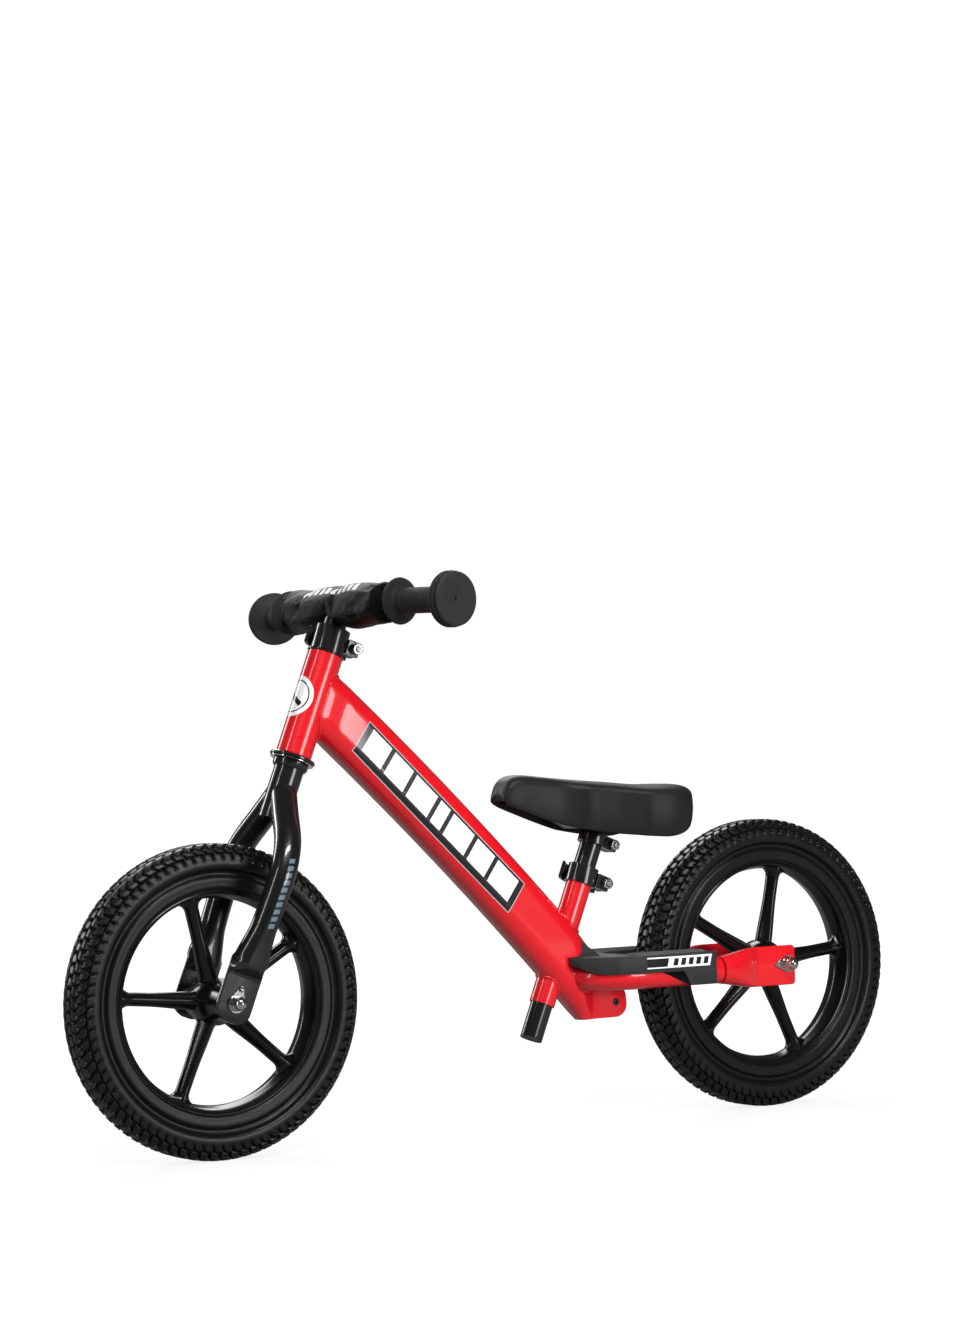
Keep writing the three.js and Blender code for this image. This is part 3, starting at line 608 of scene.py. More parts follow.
LOOKS = {  # each look's material, and the record's slot that it stands for
    key: (look.material, slot)
    for key, look, slot in [
        ("red", paint("red_paint", RED, RED_DEEP), "frame_paint"),
        ("beam", beam_paint(), "frame_paint"),
        ("head", head_paint(), "frame_paint"),
        ("black", paint("black_paint", BLACK, BLACK_SOFT), "black_paint"),
        ("fork", fork_paint(), "black_paint"),
        ("wheel", wheel_plastic(), "wheel_plastic"),
        ("tyre", tyre_foam(), "tyre_foam"),
        ("cover", cover_plastic(), "cover_plastic"),
        ("tread", rubber("footrest_rubber", 0.09), "footrest_rubber"),
        ("grip", rubber("grip_rubber", 0.02), "grip_rubber"),
        ("saddle", saddle_skin(), "saddle_skin"),
        ("fabric", pad_fabric(), "pad_fabric"),
        ("thread", rubber("thread", 0.02), "pad_fabric"),
        ("chrome", metal("chrome", (0.82, 0.81, 0.79), 0.1, 0.22), "bright_hardware"),
        ("steel", metal("steel", (0.5, 0.5, 0.51), 0.28, 0.42), "bright_hardware"),
    ]
}

# ---- Wheels ----

TREAD = {"blocks": 84, "steps": 12, "depth": 3.5, "reach": 31, "soft": 0.9}
TREAD_ROWS = [(0, 4.2), (9.9, 4.1), (19.2, 3.9), (27.6, 3.6)]  # middle and half width, from the mid plane


def tread_height(across, around):
    """0 in the grooves and 1 on the blocks, at a distance across and around the tyre."""
    pitch = 2 * pi * WHEEL_RADIUS / TREAD["blocks"]
    soft = TREAD["soft"]
    height = np.zeros(np.broadcast(across, around).shape)
    for row, (middle, half) in enumerate(TREAD_ROWS):
        offset = np.abs(across) - middle
        side = 1 - smoothstep(half - soft / 2, half + soft / 2, np.abs(offset))
        slide = around + 0.5 * pitch * (row % 2) + 0.35 * np.abs(across) * (1 if row < 2 else -1)
        place = np.abs((slide / pitch) % 1 - 0.5) * pitch
        reach = 0.39 * pitch - 0.05 * offset**2
        height = np.maximum(height, side * (1 - smoothstep(reach - soft / 2, reach + soft / 2, place)))
    return height


def tyre_profile():
    """The section from the mid plane to the bore: radius, y, distance across, and the normal's two parts."""
    shoulder, flat = 13, 7.8
    top = WHEEL_RADIUS - shoulder
    rows = [(WHEEL_RADIUS, y, y, 1, 0) for y in np.linspace(0, flat, 9)[:-1]]
    for t in np.linspace(pi / 2, 0, 24):
        outward = (sin(t), cos(t))
        across = flat + shoulder * (pi / 2 - t)
        rows.append((top + shoulder * outward[0], flat + shoulder * outward[1], across, *outward))
    sidewall = [
        (133, 20.8), (129.5, 21.2), (126, 21.1), (123.6, 20.4), (122.2, 18.8), (121.2, 16.4), (119.4, 14.8),
        (117, 14.7), (115.7, 16.2), (114.4, 17.5), (112.6, 17.8), (108.6, 17.5), (106, 17.3), (104.4, 16.2),
        (103.8, 14.6), (102.6, 14.2), (101.4, 14.6), (101.2, 13.6), (103.2, 13.2), (104.8, 12.6),
    ]
    for radius, y in spline(sidewall, 3)[1:]:
        rows.append((radius, y, rows[-1][2] + 1.1, 0, 1))
    return np.array(rows)


def add_tyre(prefix):
    """The section turned round the wheel, with the tread's grooves pressed in."""
    half = tyre_profile()
    flipped = half[:0:-1] * np.array([1, -1, -1, 1, -1])
    rows = np.vstack([flipped, half])
    around = np.array(turns(TREAD["blocks"] * TREAD["steps"]))
    across = rows[:, 2][:, None]
    depth = TREAD["depth"] * (1 - smoothstep(TREAD["reach"] - 2.5, TREAD["reach"], np.abs(across)))
    drop = depth * (1 - tread_height(across, around[None, :] * WHEEL_RADIUS))
    radius = rows[:, 0][:, None] - drop * rows[:, 3][:, None]
    side = rows[:, 1][:, None] - drop * rows[:, 4][:, None]
    rings = np.stack([radius * np.cos(around), side + 0 * around, radius * np.sin(around)], axis=-1)
    build(
        f"{prefix}_tyre_foam", [loft(rings.tolist(), closed=True)], "tyre", f"{prefix}_wheel", HUBS[prefix],
        sharp=60, replaces=f"{prefix}_tyre",
    )


RIM = {"opening": 95.2, "flare": 8.5, "hub": 16.5, "hub_flare": 9}


def spoke():
    """One spoke along +X, ridged down the middle of each face, flared into the rim and the hub."""
    rings = []
    for at in [12, 15, *np.arange(17, 27, 1.5), *np.arange(28, 84, 4), *np.arange(86, 96.5, 1), 98.5]:
        half = 8.6 - 2.2 * smoothstep(20, 70, at)
        into_rim = max(0, min(at, RIM["opening"]) - (RIM["opening"] - RIM["flare"]))
        half += RIM["flare"] - sqrt(RIM["flare"] ** 2 - into_rim**2)
        into_hub = max(0, RIM["hub"] + RIM["hub_flare"] - max(at, RIM["hub"]))
        half += 0.6 * (RIM["hub_flare"] - sqrt(RIM["hub_flare"] ** 2 - into_hub**2))
        ridge = 12 - 3.6 * smoothstep(14, 70, at) + 1.6 * smoothstep(84, 96, at)
        edge = 3.4
        quarter = [(half, edge * 0.6), (half - 0.7, edge), (3.2, ridge - 1.5), (1.4, ridge - 0.25)]
        upper = [*quarter, (0, ridge), *((-z, y) for z, y in reversed(quarter))]
        ring = upper + [(z, -y) for z, y in reversed(upper)]
        rings.append([(at, y, z) for z, y in ring])
    return loft(rings)


def rim_ring():
    """The rim's ring, rolled over at its edges and thinner in the middle."""
    half = [
        (104.4, 12.9), (102.3, 14.6), (101.6, 15.3), (100.6, 15.6), (99.6, 15.3), (98.9, 14.4),
        (97.4, 9), (96.2, 4), (95.4, 1.2),
    ]
    return lathe_both(half, WHEEL_SIDES)


def hub_shell():
    """The hub, flared at the spokes and bored for its bearings."""
    half = [
        (22.5, 0), (22, 9), (20.6, 13), (18.2, 16.5), (16.8, 20), (16.2, 25), (15.6, 36.6), (14.8, 37.8),
        (13, 38), (11.4, 38), (11.3, 30.7), (6, 30.7),
    ]
    return lathe_both(half, SIDES)


def add_wheel(prefix):
    """The one-piece wheel and its bearings."""
    parts = [rim_ring(), hub_shell()]
    for i in range(SPOKES):
        turn = Matrix.Rotation(-radians(PHASE[prefix] + 360 / SPOKES * i), 4, "Y")
        parts.append(moved(spoke(), turn))
    build(
        f"{prefix}_spoked_wheel", parts, "wheel", f"{prefix}_wheel", HUBS[prefix], sharp=30,
        replaces=f"{prefix}_wheel",
    )
    for side in ("left", "right"):
        dress(f"{prefix}_bearing_{side}", "steel")


# ---- Axle hardware ----

NUT_SEAT = DROPOUT["inside"] + DROPOUT["thickness"] + 0.3


def acorn_nut(low):
    """A hexagon with turned corners and a dome, about Y."""
    hexagon = []
    for radius_shift, y in [(-0.9, 0), (0, 0.8), (0, 5.2), (-0.9, 6)]:
        ring = []
        for angle in turns(48):
            flat = 6.5 / cos((angle + pi / 6) % (pi / 3) - pi / 6)
            radius = min(flat, 7.15) + radius_shift
            ring.append((radius * cos(angle), low + y, radius * sin(angle)))
        hexagon.append(ring)
    dome = [(0, 5.5)] + [(6.2 * cos(t), 6 + 6.4 * sin(t)) for t in np.linspace(0, pi / 2, 10)]
    dome[-1] = (0, dome[-1][1])
    return [loft(hexagon), lathe([(radius, low + y) for radius, y in dome], 48, "Y")]


def safety_washer(low):
    """A teardrop plate with its tip along +X, bent into a small hook."""
    outline = [(8.6 * cos(t), 8.6 * sin(t)) for t in np.radians(np.linspace(48, 312, 30))]
    outline += [(12, -3.2), (15.5, -1.9), (17, 0), (15.5, 1.9), (12, 3.2)]
    plate = prism(outline, low, low + 1.5)
    hook = [(13.4 + 2.4 * cos(t), low + 1.2 + 2.6 * sin(t)) for t in np.linspace(0, pi, 9)]
    rings = [[(x, y, z) for z in (-1.6, 1.6)] for x, y in hook]
    rings += [[(x, y - 0.9, z) for z in (-1.6, 1.6)] for x, y in reversed(hook)]
    strip = loft([[ring[0] for ring in rings], [ring[1] for ring in rings]])
    return [plate, strip]


def add_axle(prefix, matrix, body, tip_angle):
    """The axle, spacers, washers and nuts, with the washers' tips turned from the matrix's X axis."""
    turn = Matrix.Rotation(-radians(tip_angle), 4, "Y")
    for side in ("left", "right"):
        washer = [moved(part, turn) for part in safety_washer(NUT_SEAT)]
        nut = acorn_nut(NUT_SEAT + 1.8)
        if side == "right":
            washer, nut = [mirrored(p) for p in washer], [mirrored(p) for p in nut]
        for name, parts in (("safety_washer", washer), ("axle_nut", nut)):
            build(
                f"{prefix}_{name}_{side}_bright", parts, "chrome", body, matrix, sharp=40,
                replaces=f"{prefix}_{name}_{side}",
            )
        dress(f"{prefix}_spacer_{side}", "steel")
    dress(f"{prefix}_axle", "steel")


# ---- Frame ----


def beam_outline(z, swell=0.0):
    """The beam's outer surface at one station, narrowed at the head and pressed flat below."""
    bow = BEAM["bow"] * (z - BEAM["apex"]) ** 2
    points = []
    for u, v in rounded(BEAM["half_height"] + swell, BEAM["half_width"], BEAM["corner"], 12, 10):
        ground = BEAMING @ Vector((u + bow, 0, z))
        from_head = -(STEERING_INVERSE @ ground).x
        ease = smoothstep(0, 1, (PINCH["start"] - ground.x) / (PINCH["start"] - PINCH["end"]))
        half = BEAM["half_width"] + (PINCH["half"] - BEAM["half_width"]) * ease + swell
        half -= (BEAM["half_width"] - HEAD_TUBE["outer"] + 0.8) * smoothstep(34, 8, from_head)
        points.append((u + bow, v / BEAM["half_width"] * half, z))
    return points


def beam_meets_head(radius):
    """The closed line where the beam's surface reaches a given radius round the steering axis."""
    stations = np.arange(180, 300, 2)
    outlines = [[STEERING_INVERSE @ (BEAMING @ Vector(p)) for p in beam_outline(z)] for z in stations]
    path = []
    for line in zip(*outlines):
        gaps = [hypot(p.x, p.y) - radius for p in line]
        i = next(k for k, gap in enumerate(gaps) if gap < 0)
        path.append(STEERING @ line[i - 1].lerp(line[i], gaps[i - 1] / (gaps[i - 1] - gaps[i])))
    return path


def add_beam():
    """The arched beam, trimmed to its lower end, mitred to the head tube and drilled."""
    stations = [*np.arange(BEAM_ENDS["low"], -60, 3), *np.linspace(-60, 180, 14)[:-1]]
    stations += [*np.arange(180, BEAM_ENDS["high"], 4)]
    piece = solid("arched_beam", [loft([beam_outline(z) for z in stations])], BEAMING)
    corner, floor, rear = BEAM_ENDS["corner"], BEAM_ENDS["floor"], BEAM_ENDS["rear"]
    outline = [(300, floor), (300, 520), (rear - 20, 520), (rear - 20, 150), (rear, 132)]
    for t in np.linspace(pi, 1.5 * pi, 10):
        outline.append((rear + corner + corner * cos(t), floor + corner + corner * sin(t)))
    carve(piece, prism(outline, -60, 60), operation="INTERSECT")
    carve(piece, lathe(cylinder(HEAD_TUBE["outer"] - 0.6, 0, 500)), STEERING)
    carve(piece, block((-3, -60, 0), (200, 60, 500)), STEERING)
    carve(piece, lathe(cylinder(TAB_HOLE["radius"], -30, 30), 32, "Y"), AT_HOLE)
    finish_piece(piece, "beam", "frame", sharp=30, bevel=0.7, replaces="main_beam")


def add_tab_sleeve():
    """The dark threaded insert in the tab's hole."""
    outer, inner, half = TAB_HOLE["radius"] + 0.5, 1.4, PINCH["half"] + 0.3
    outline = [(outer + 0.4, half - 0.3), (outer, half), (inner, half)]
    build("tab_insert", [lathe_both(outline, 32)], "black", "frame", AT_HOLE, sharp=30)


def half_pipe(size, low, high, half_slot):
    """A tube about Z with a slot down its back."""
    inner, outer = size["inner"], size["outer"]
    gap = half_slot / outer
    section = [(inner, low), (outer, low), (outer, high), (inner, high)]
    around = np.linspace(-pi + gap, pi - gap, SIDES)
    return loft([[(r * cos(t), r * sin(t), z) for r, z in section] for t in around])


STAY_ROUTE = [  # x and y of the left one
    (-84, 5), (-86, 18), (-93, 31), (-108, 42), (-128, 47.3), (-160, STAY["half_span"]),
    (-200, STAY["half_span"]), (-224, STAY["half_span"]),
]


def stay():
    """The left stay: a bent tube from inside the beam to its dropout, where it is pressed flat."""
    route = spline(STAY_ROUTE, 5)
    rings = []
    for i, (x, y) in enumerate(route):
        along = Vector((*(route[min(i + 1, len(route) - 1)] - route[max(i - 1, 0)]), 0)).normalized()
        out = Vector((-along.y, along.x, 0))
        ring = rounded(STAY["radius"], STAY["radius"], STAY["radius"], 9)
        rings.append([(x + out.x * a, y + out.y * a, STAY["height"] + b) for a, b in ring])
    plate = DROPOUT["thickness"] / 2
    middle = DROPOUT["inside"] + plate
    for x in np.arange(-226, -278, -2):
        press = np.clip((-232 - x) / 42, 0, 1) ** 1.6
        half = STAY["radius"] + (plate - STAY["radius"]) * press
        rise = STAY["radius"] + (STAY["dropout_half"] - STAY["radius"]) * smoothstep(-216, -272, x)
        centre = STAY["half_span"] + (middle - STAY["half_span"]) * press
        ring = rounded(half, rise, min(half, rise), 9)
        rings.append([(x, centre + a, STAY["height"] + b) for a, b in ring])
    end = -321.5
    for x, shrink in ((-300, 0), (end + 3, 0), (end + 0.9, 1), (end, 3)):
        ring = rounded(plate - shrink * 0.25, STAY["dropout_half"] - shrink, 1.6, 9)
        rings.append([(x, middle + a, STAY["height"] + b) for a, b in ring])
    return loft(rings)


def stay_weld(side):
    """The bead where a stay's tube enters the beam's side."""
    path = []
    for t in turns(28):
        y = 19.4 if cos(t) < 0 else 18.6
        across = y if side == "left" else -y
        path.append((-88 - 13.8 * cos(t), across, STAY["height"] + 13.8 * sin(t)))
    return path


def add_frame():
    """The welded frame and its headset flanges."""
    head = tube(HEAD_TUBE, HEAD_TUBE["bottom"], HEAD_TUBE["top"], 0.5, 96)
    build("head_tube_painted", [head], "head", "frame", STEERING, replaces="head_tube")
    add_beam()
    add_tab_sleeve()
    slot_foot = SEAT_TUBE["length"] - SEAT_TUBE["slot"]
    seat_tube = tube(SEAT_TUBE, 0, slot_foot)
    slotted = half_pipe(SEAT_TUBE, slot_foot - 0.5, SEAT_TUBE["length"], 1.5)
    build("seat_tube_painted", [seat_tube, slotted], "red", "frame", SEATING, replaces="seat_tube")
    build_pair("stay", stay(), "red", "frame", sharp=30)
    welds = [bead(beam_meets_head(HEAD_TUBE["outer"] + 0.4), 1.7)]
    welds += [bead(seat_weld(end), 1.6) for end in (1, -1)]
    welds += [bead(stay_weld(side), 1.5) for side in ("left", "right")]
    build("frame_welds", welds, "red", "frame", sharp=80)
    flanges = {
        "upper": [(14.7, 344.2), (17.4, 344.2), (18, 344.6), (18, 345.6), (17.4, 346), (14.7, 346)],
        "lower": [
            (14.7, 238), (21.2, 238), (22, 238.8), (22, 240.2), (21.2, 241), (18.4, 241.4), (17.6, 241.8),
            (14.7, 241.8),
        ],
    }
    for name, outline in flanges.items():
        build(
            f"{name}_headset_flange", [lathe(outline, 96)], "black", "frame", STEERING, sharp=25,
            replaces=f"{name}_headset_cup",
        )


def seat_weld(end):
    """The bead where the seat tube comes out of the top (1) or the bottom (-1) of the beam."""
    path = []
    radius = SEAT_TUBE["outer"] + 0.2
    for t in turns(40):
        x, y = radius * cos(t), radius * sin(t)
        low, high = (0, 90) if end > 0 else (40, -40)
        for _ in range(24):
            z = (low + high) / 2
            local = BEAMING.inverted() @ (SEATING @ Vector((x, y, z)))
            u = local.x - BEAM["bow"] * (local.z - BEAM["apex"]) ** 2
            corner, flat = BEAM["corner"], BEAM["half_width"] - BEAM["corner"]
            beyond = max(abs(y) - flat, 0)
            reach = BEAM["half_height"] - corner + sqrt(max(corner**2 - beyond**2, 0))
            inside = -u < reach if end > 0 else u < reach
            low, high = (z, high) if inside else (low, z)
        path.append(SEATING @ Vector((x, y, (low + high) / 2)))
    return path


# ---- Footrests ----

COVER = {"top": 165, "bottom": 147.5, "front_bottom": 158, "band_bottom": 133, "half_width": 64, "wall": 3}
HOOD = [  # rear x, front x, half width, rear z, front z
    (-108, -66, 22, 162, 162), (-102, -70, 20, 166, 166), (-84, -78, 14, 181, 183),
]
STRIP = {"x": -162, "y": 48.5, "half_x": 42, "half_y": 11, "pitch": 3.1, "stud": 1.05}
COVER_PLAN = [  # x and y of the left half, from the mid plane in front round to the back
    (-66, 0), (-66, 24), (-72, 35), (-84, 46), (-102, 57), (-124, 62.6), (-145, 64), (-212, 64), (-212, 34),
    (-150, 33), (-136, 28), (-130, 16), (-128, 0),
]


def resampled(outline, step):
    """A closed outline with points at most `step` apart."""
    made = []
    for i, (x, y) in enumerate(outline):
        to_x, to_y = outline[(i + 1) % len(outline)]
        count = max(1, ceil(hypot(to_x - x, to_y - y) / step))
        made += [(x + (to_x - x) * k / count, y + (to_y - y) * k / count) for k in range(count)]
    return made


def cover_foot(x):
    """The height of the cover's lower edge: it rises in front and drops into a band at the back."""
    front = (COVER["front_bottom"] - COVER["bottom"]) * max(0, (x + 94) / 28) ** 2
    band = (COVER["bottom"] - COVER["band_bottom"]) * smoothstep(-174, -180, x)
    return COVER["bottom"] + front - band


def add_cover():
    """A moulded shell over both stays, hollow underneath, with a hood that rises against the beam."""
    plan = COVER_PLAN + [(x, -y) for x, y in reversed(COVER_PLAN[1:-1])]
    plan = resampled(plan, 4)
    foot = [(x, y, cover_foot(x)) for x, y in plan]
    piece = solid("footrest_cover_moulded", [loft([foot, [(x, y, COVER["top"]) for x, y in plan]])])
    hood = [
        [(rear, -half, low), (front, -half, high), (front, half, high), (rear, half, low)]
        for rear, front, half, low, high in HOOD
    ]
    carve(piece, loft(hood), operation="UNION")
    wall = COVER["wall"]
    for side in (1, -1):
        ends = (side * 34, side * (COVER["half_width"] - wall))
        carve(piece, block((-250, min(ends), 100), (-148, max(ends), COVER["top"] - wall)))
    inside = [(-74, 19), (-80, 31), (-91, 41), (-107, 52), (-127, 58), (-149, 61)]
    inside += [(x, -y) for x, y in reversed(inside)]
    rings = [[(x, y, z) for x, y in inside] for z in (100, COVER["top"] - wall)]
    carve(piece, loft(rings))
    carve(piece, loft([beam_outline(z, 0.4) for z in np.arange(-200, 0, 4)]), BEAMING)
    carve(piece, lathe(cylinder(SEAT_TUBE["outer"] + 0.6, -60, 200)), SEATING)
    finish_piece(piece, "cover", "frame", sharp=40, bevel=1.4, replaces="footrest_cover")


def stud(x, y):
    """One low pyramid of a footrest strip, its top cut flat."""
    half = STRIP["stud"]
    rings = []
    for z, size in ((0.6, half + 0.35), (1.9, half), (2.1, half - 0.35)):
        z += COVER["top"]
        rings.append([(x + size, y, z), (x, y + size, z), (x - size, y, z), (x, y - size, z)])
    return loft(rings)


def add_footrests():
    add_cover()
    top, pitch = COVER["top"], STRIP["pitch"]
    for side, name in ((1, "left"), (-1, "right")):
        middle = Matrix.Translation((STRIP["x"], side * STRIP["y"], 0))
        outline = rounded(STRIP["half_x"], STRIP["half_y"], 4, 6)
        slab = loft([[(x, y, z) for x, y in outline] for z in (top, top + 0.9)])
        studs = [stud((i - 12.5) * pitch, (k - 2.5) * pitch) for i in range(26) for k in range(6)]
        build(
            f"{name}_footrest_tread", [slab, *studs], "tread", "frame", middle, sharp=25,
            replaces=f"{name}_footrest_grip",
        )


# ---- Fork ----

LEG = {"radius": 12.6, "flare": 5, "plate_half": 18.3, "plate_y": 46.5, "plate_end": -6, "edge_at": 28}
LEG_ROUTE = [  # height along the steering axis, and distance from the mid plane
    (205, 4), (182, 23), (160, 42), (141, 51.5), (122, 55), (93, 54), (72, 51.8), (60, 50), (48, 48.5),
    (36, 47.5), (24, 46.5),
]


def leg_section(x, y, z):
    """A ring round a fork leg: a round tube that ends in a tongue on a flat plate."""
    middle, radius = DROPOUT["inside"] + DROPOUT["thickness"] / 2, LEG["radius"]
    past_end = max(0.0, LEG["plate_end"] - z)
    plate_half = sqrt(max(LEG["plate_half"] ** 2 - (past_end * 1.45) ** 2, 25))
    widest = radius + LEG["flare"] * smoothstep(75, 34, z)
    tube_ring = rounded(radius, widest, radius, 10)
    plate_ring = rounded(DROPOUT["thickness"] / 2, plate_half, 1.6, 10)
    ring = []
    for (ty, tx), (py, px) in zip(tube_ring, plate_ring):
        across = tx / widest
        share = 1 - smoothstep(-3.5, 3.5, z - LEG["edge_at"] - 15 * across * across)
        ring.append((x + tx * (1 - share) + px * share, (y + ty) * (1 - share) + (middle + py) * share, z))
    return ring


def fork_leg():
    """The left leg, which curves out from the steerer, with its upper rings tilted to follow the curve."""
    rings = []
    for z, y in spline(LEG_ROUTE, 7):
        lean = atan2(19, 23) * smoothstep(130, 175, z)
        tilted = []
        for px, py, pz in leg_section(FORK_OFFSET * (1 - max(z, 0) / 205), y, z):
            off = py - y
            tilted.append((px, y + off * cos(lean), pz + off * sin(lean)))
        rings.append(tilted)
    for z in (18, 8, -2, -8, -11, -14, -16.4, -17.6, -18.2):
        rings.append(leg_section(FORK_OFFSET, LEG["plate_y"], z))
    return loft(rings)


def add_fork():
    """The steerer, the legs, the crown's rings and the two quick-release clamps."""
    steerer = tube(STEERER, STEERER["bottom"], STEERER["top"])
    build("steerer_painted", [steerer], "black", "fork", STEERING, replaces="steerer_tube")
    build_pair("fork_leg", fork_leg(), "fork", "fork", STEERING)
    crown_seat = [(14.6, 236.2), (20.4, 236.2), (21, 236.7), (21, 237.3), (20.4, 237.7), (14.6, 237.7)]
    build("crown_seat", [lathe(crown_seat, 96)], "chrome", "fork", STEERING, replaces="crown_washer")
    crown_ring = [(14.6, 229), (15.6, 229), (17, 231.5), (17, 235.4), (16.6, 235.8), (14.6, 235.8)]
    build("crown_ring", [lathe(crown_ring, 96)], "black", "fork", STEERING, replaces="crown_race")
    for name, look in (("collar", "black"), ("skewer", "steel"), ("nut", "chrome"), ("lever", "black")):
        dress(f"stem_clamp_{name}", look)
        dress(f"seat_clamp_{name}", look)


# ---- Seat ----

SADDLE = [  # x, skirt, underside, top, half width
    (-5.6, 326.8, 328, 333, 7.5), (-6.3, 324, 326, 336.5, 11.5), (-7.5, 321, 323.5, 340, 14.5),
    (-10, 318.5, 321, 342.8, 16.2), (-15, 315.5, 320.5, 344.8, 17.4), (-24, 311, 318, 345.3, 18.7),
    (-40, 303.5, 312, 343.8, 20), (-62, 296, 306, 341.2, 23), (-78, 291.5, 302.3, 339.5, 28.6),
    (-88, 289.3, 300, 338.5, 34), (-100, 287.2, 299.3, 337.4, 37.5), (-118, 284.5, 299.3, 335.8, 43.5),
    (-136, 282.5, 299.3, 333.8, 51), (-150, 281, 299.3, 332.6, 57), (-172, 280.3, 299.3, 332.2, 60),
    (-192, 286, 300, 331.8, 55), (-204, 297, 304, 329, 43), (-210, 307, 311, 322, 27),
]
SADDLE_EDGE = 12  # rounding of the saddle's top edge
SADDLE_WALL = 3.5
NOSE_SLANT = 0.32  # how far the nose's foot reaches ahead of its top, for each millimetre down


def saddle_ring(x, low, roof, high, half):
    """A section of the saddle: crowned on top, slightly full at the sides, with a skirt round a hollow."""
    height = high - low
    edge = min(SADDLE_EDGE, height * 0.5)
    ring = []
    for t in np.linspace(0, 1, 16):
        y = half * sin(t * pi / 2) ** 0.62
        drop = (1 - (1 - min(y / half, 1) ** 3.4) ** (1 / 2.2)) * edge
        ring.append((y, high - drop))
    for t in np.linspace(0, 1, 8)[1:]:
        full = 1 + 0.02 * sin(pi * t) - 0.05 * t**3
        ring.append((half * full, high - edge - (height - edge) * t))
    foot = ring[-1][0]
    inner = foot - SADDLE_WALL
    ring += [
        (foot - 0.6 * SADDLE_WALL, low - 0.3), (inner, low + 0.8), (inner - 0.8, (low + roof) / 2),
        (inner - 1.4, roof - 0.6), (foot * 0.5, roof),
    ]
    right = [(-y, z) for y, z in reversed(ring[1:])]
    reach = NOSE_SLANT * (1 - smoothstep(8, 40, -x))
    return [(x + reach * (336 - z), y, z) for y, z in ring + [(0, roof)] + right]


def add_seat():
    rings = [saddle_ring(*row) for row in spline(SADDLE, 4)]
    cushion = build("saddle_moulded", [loft(rings)], "saddle", "seat", sharp=50, replaces="saddle_cushion")
    subdivide(cushion)
    dress("saddle_pan", "wheel", bevel=0.6)
    dress("saddle_clamp", "black")
    dress("saddle_clamp_bolt", "steel")
    post = tube(POST, POST["bottom"], POST["top"])
    build("seat_post_painted", [post], "black", "seat", SEATING, replaces="seat_post")
    cap = [(2, -36.4), (10.4, -36.4), (11.1, -35.8), (11.1, -34.3), (9, -34.1), (9, -22), (2, -22)]
    build("seat_post_cap", [lathe(cap)], "cover", "seat", SEATING, replaces="seat_post_plug")


# ---- Handlebar ----


def beyond_bend(along):
    """The point on the left half's axis that is `along` millimetres past the bar's bend."""
    back, up = radians(BAR["back"]), radians(BAR["up"])
    level = cos(up) * along
    y, z = BAR["bend_at"] + level * cos(back), STEM["bar"] + along * sin(up)
    return Vector((-level * sin(back), y, z))


def crossbar():
    """A round bar, straight in the middle and bent back towards each grip."""
    stops = [(0, y, STEM["bar"]) for y in (0, 30, 60, 74)]
    stops += [(-0.3, 80, STEM["bar"]), (-1.2, 89, STEM["bar"] + 0.2)]
    half = spline(stops + [tuple(beyond_bend(along)) for along in (18, 50, 92)], 4)
    path = np.vstack([half[:0:-1] * np.array([1, -1, 1]), half])
    rings = []
    for i, at in enumerate(path):
        along = Vector(path[min(i + 1, len(path) - 1)] - path[max(i - 1, 0)]).normalized()
        rings.append(circle(at, along, (0, 0, 1), BAR["radius"], 40))
    return loft(rings)


def grip():
    """A moulded grip about Y: inner flange, ribbed sleeve, and a ringed bumper with a vent in its face."""
    end = BAR["grip_end"]
    outline = [
        (8.3, 20), (20.5, 20), (21.6, 20.4), (22, 21.3), (21.6, 22.3), (20, 22.9), (13, 23.4), (11.6, 25),
    ]
    for i in range(18):
        start = 27 + 3.1 * i
        outline += [(11.5, start), (11.5, start + 0.9), (12.1, start + 1.2), (12.1, start + 2.7)]
    outline += [
        (11.6, 84), (13, 85.6), (24.6, 86.6), (25.7, 87), (26, 87.6), (26, 88.4), (25.4, 89), (22.4, 89.2),
        (22.4, 90.6), (25.4, 90.8), (26, 91.4), (26, 92.2), (25.4, 92.8), (22.4, 93), (22.4, 94.2),
        (25, 94.5), (25.3, 95.8), (25, 97), (24, 97.8), (22.4, 98), (15, 97.1), (6, 96.7), (1.6, 96.6),
        (1.2, 96.2), (1.2, end - 5), (8.3, end - 5),
    ]
    return lathe(outline, 96, "Y")


def pad_shell(radius, half_length):
    """A closed roll of padding about Y, notched over the stem and fuller on each side of it."""
    rings = []
    for y in np.linspace(-half_length, half_length, 51):
        end = 1 - smoothstep(0, 6, half_length - abs(y))
        size = radius * (1 - PAD_TAPER * y / half_length) - 0.8 * end
        ring = []
        full = PAD_LUMP["rise"] * exp(-(((abs(y) - PAD_LUMP["at"]) / PAD_LUMP["width"]) ** 2))
        full -= PAD_NOTCH["drop"] * exp(-((y / PAD_NOTCH["width"]) ** 2))
        for t in turns(40):
            lump = 1 + full * max(0, -sin(t + 0.2))
            ring.append((PAD["x"] + size * lump * cos(t), y, PAD["z"] + size * lump * sin(t)))
        rings.append(ring)
    return loft(rings)


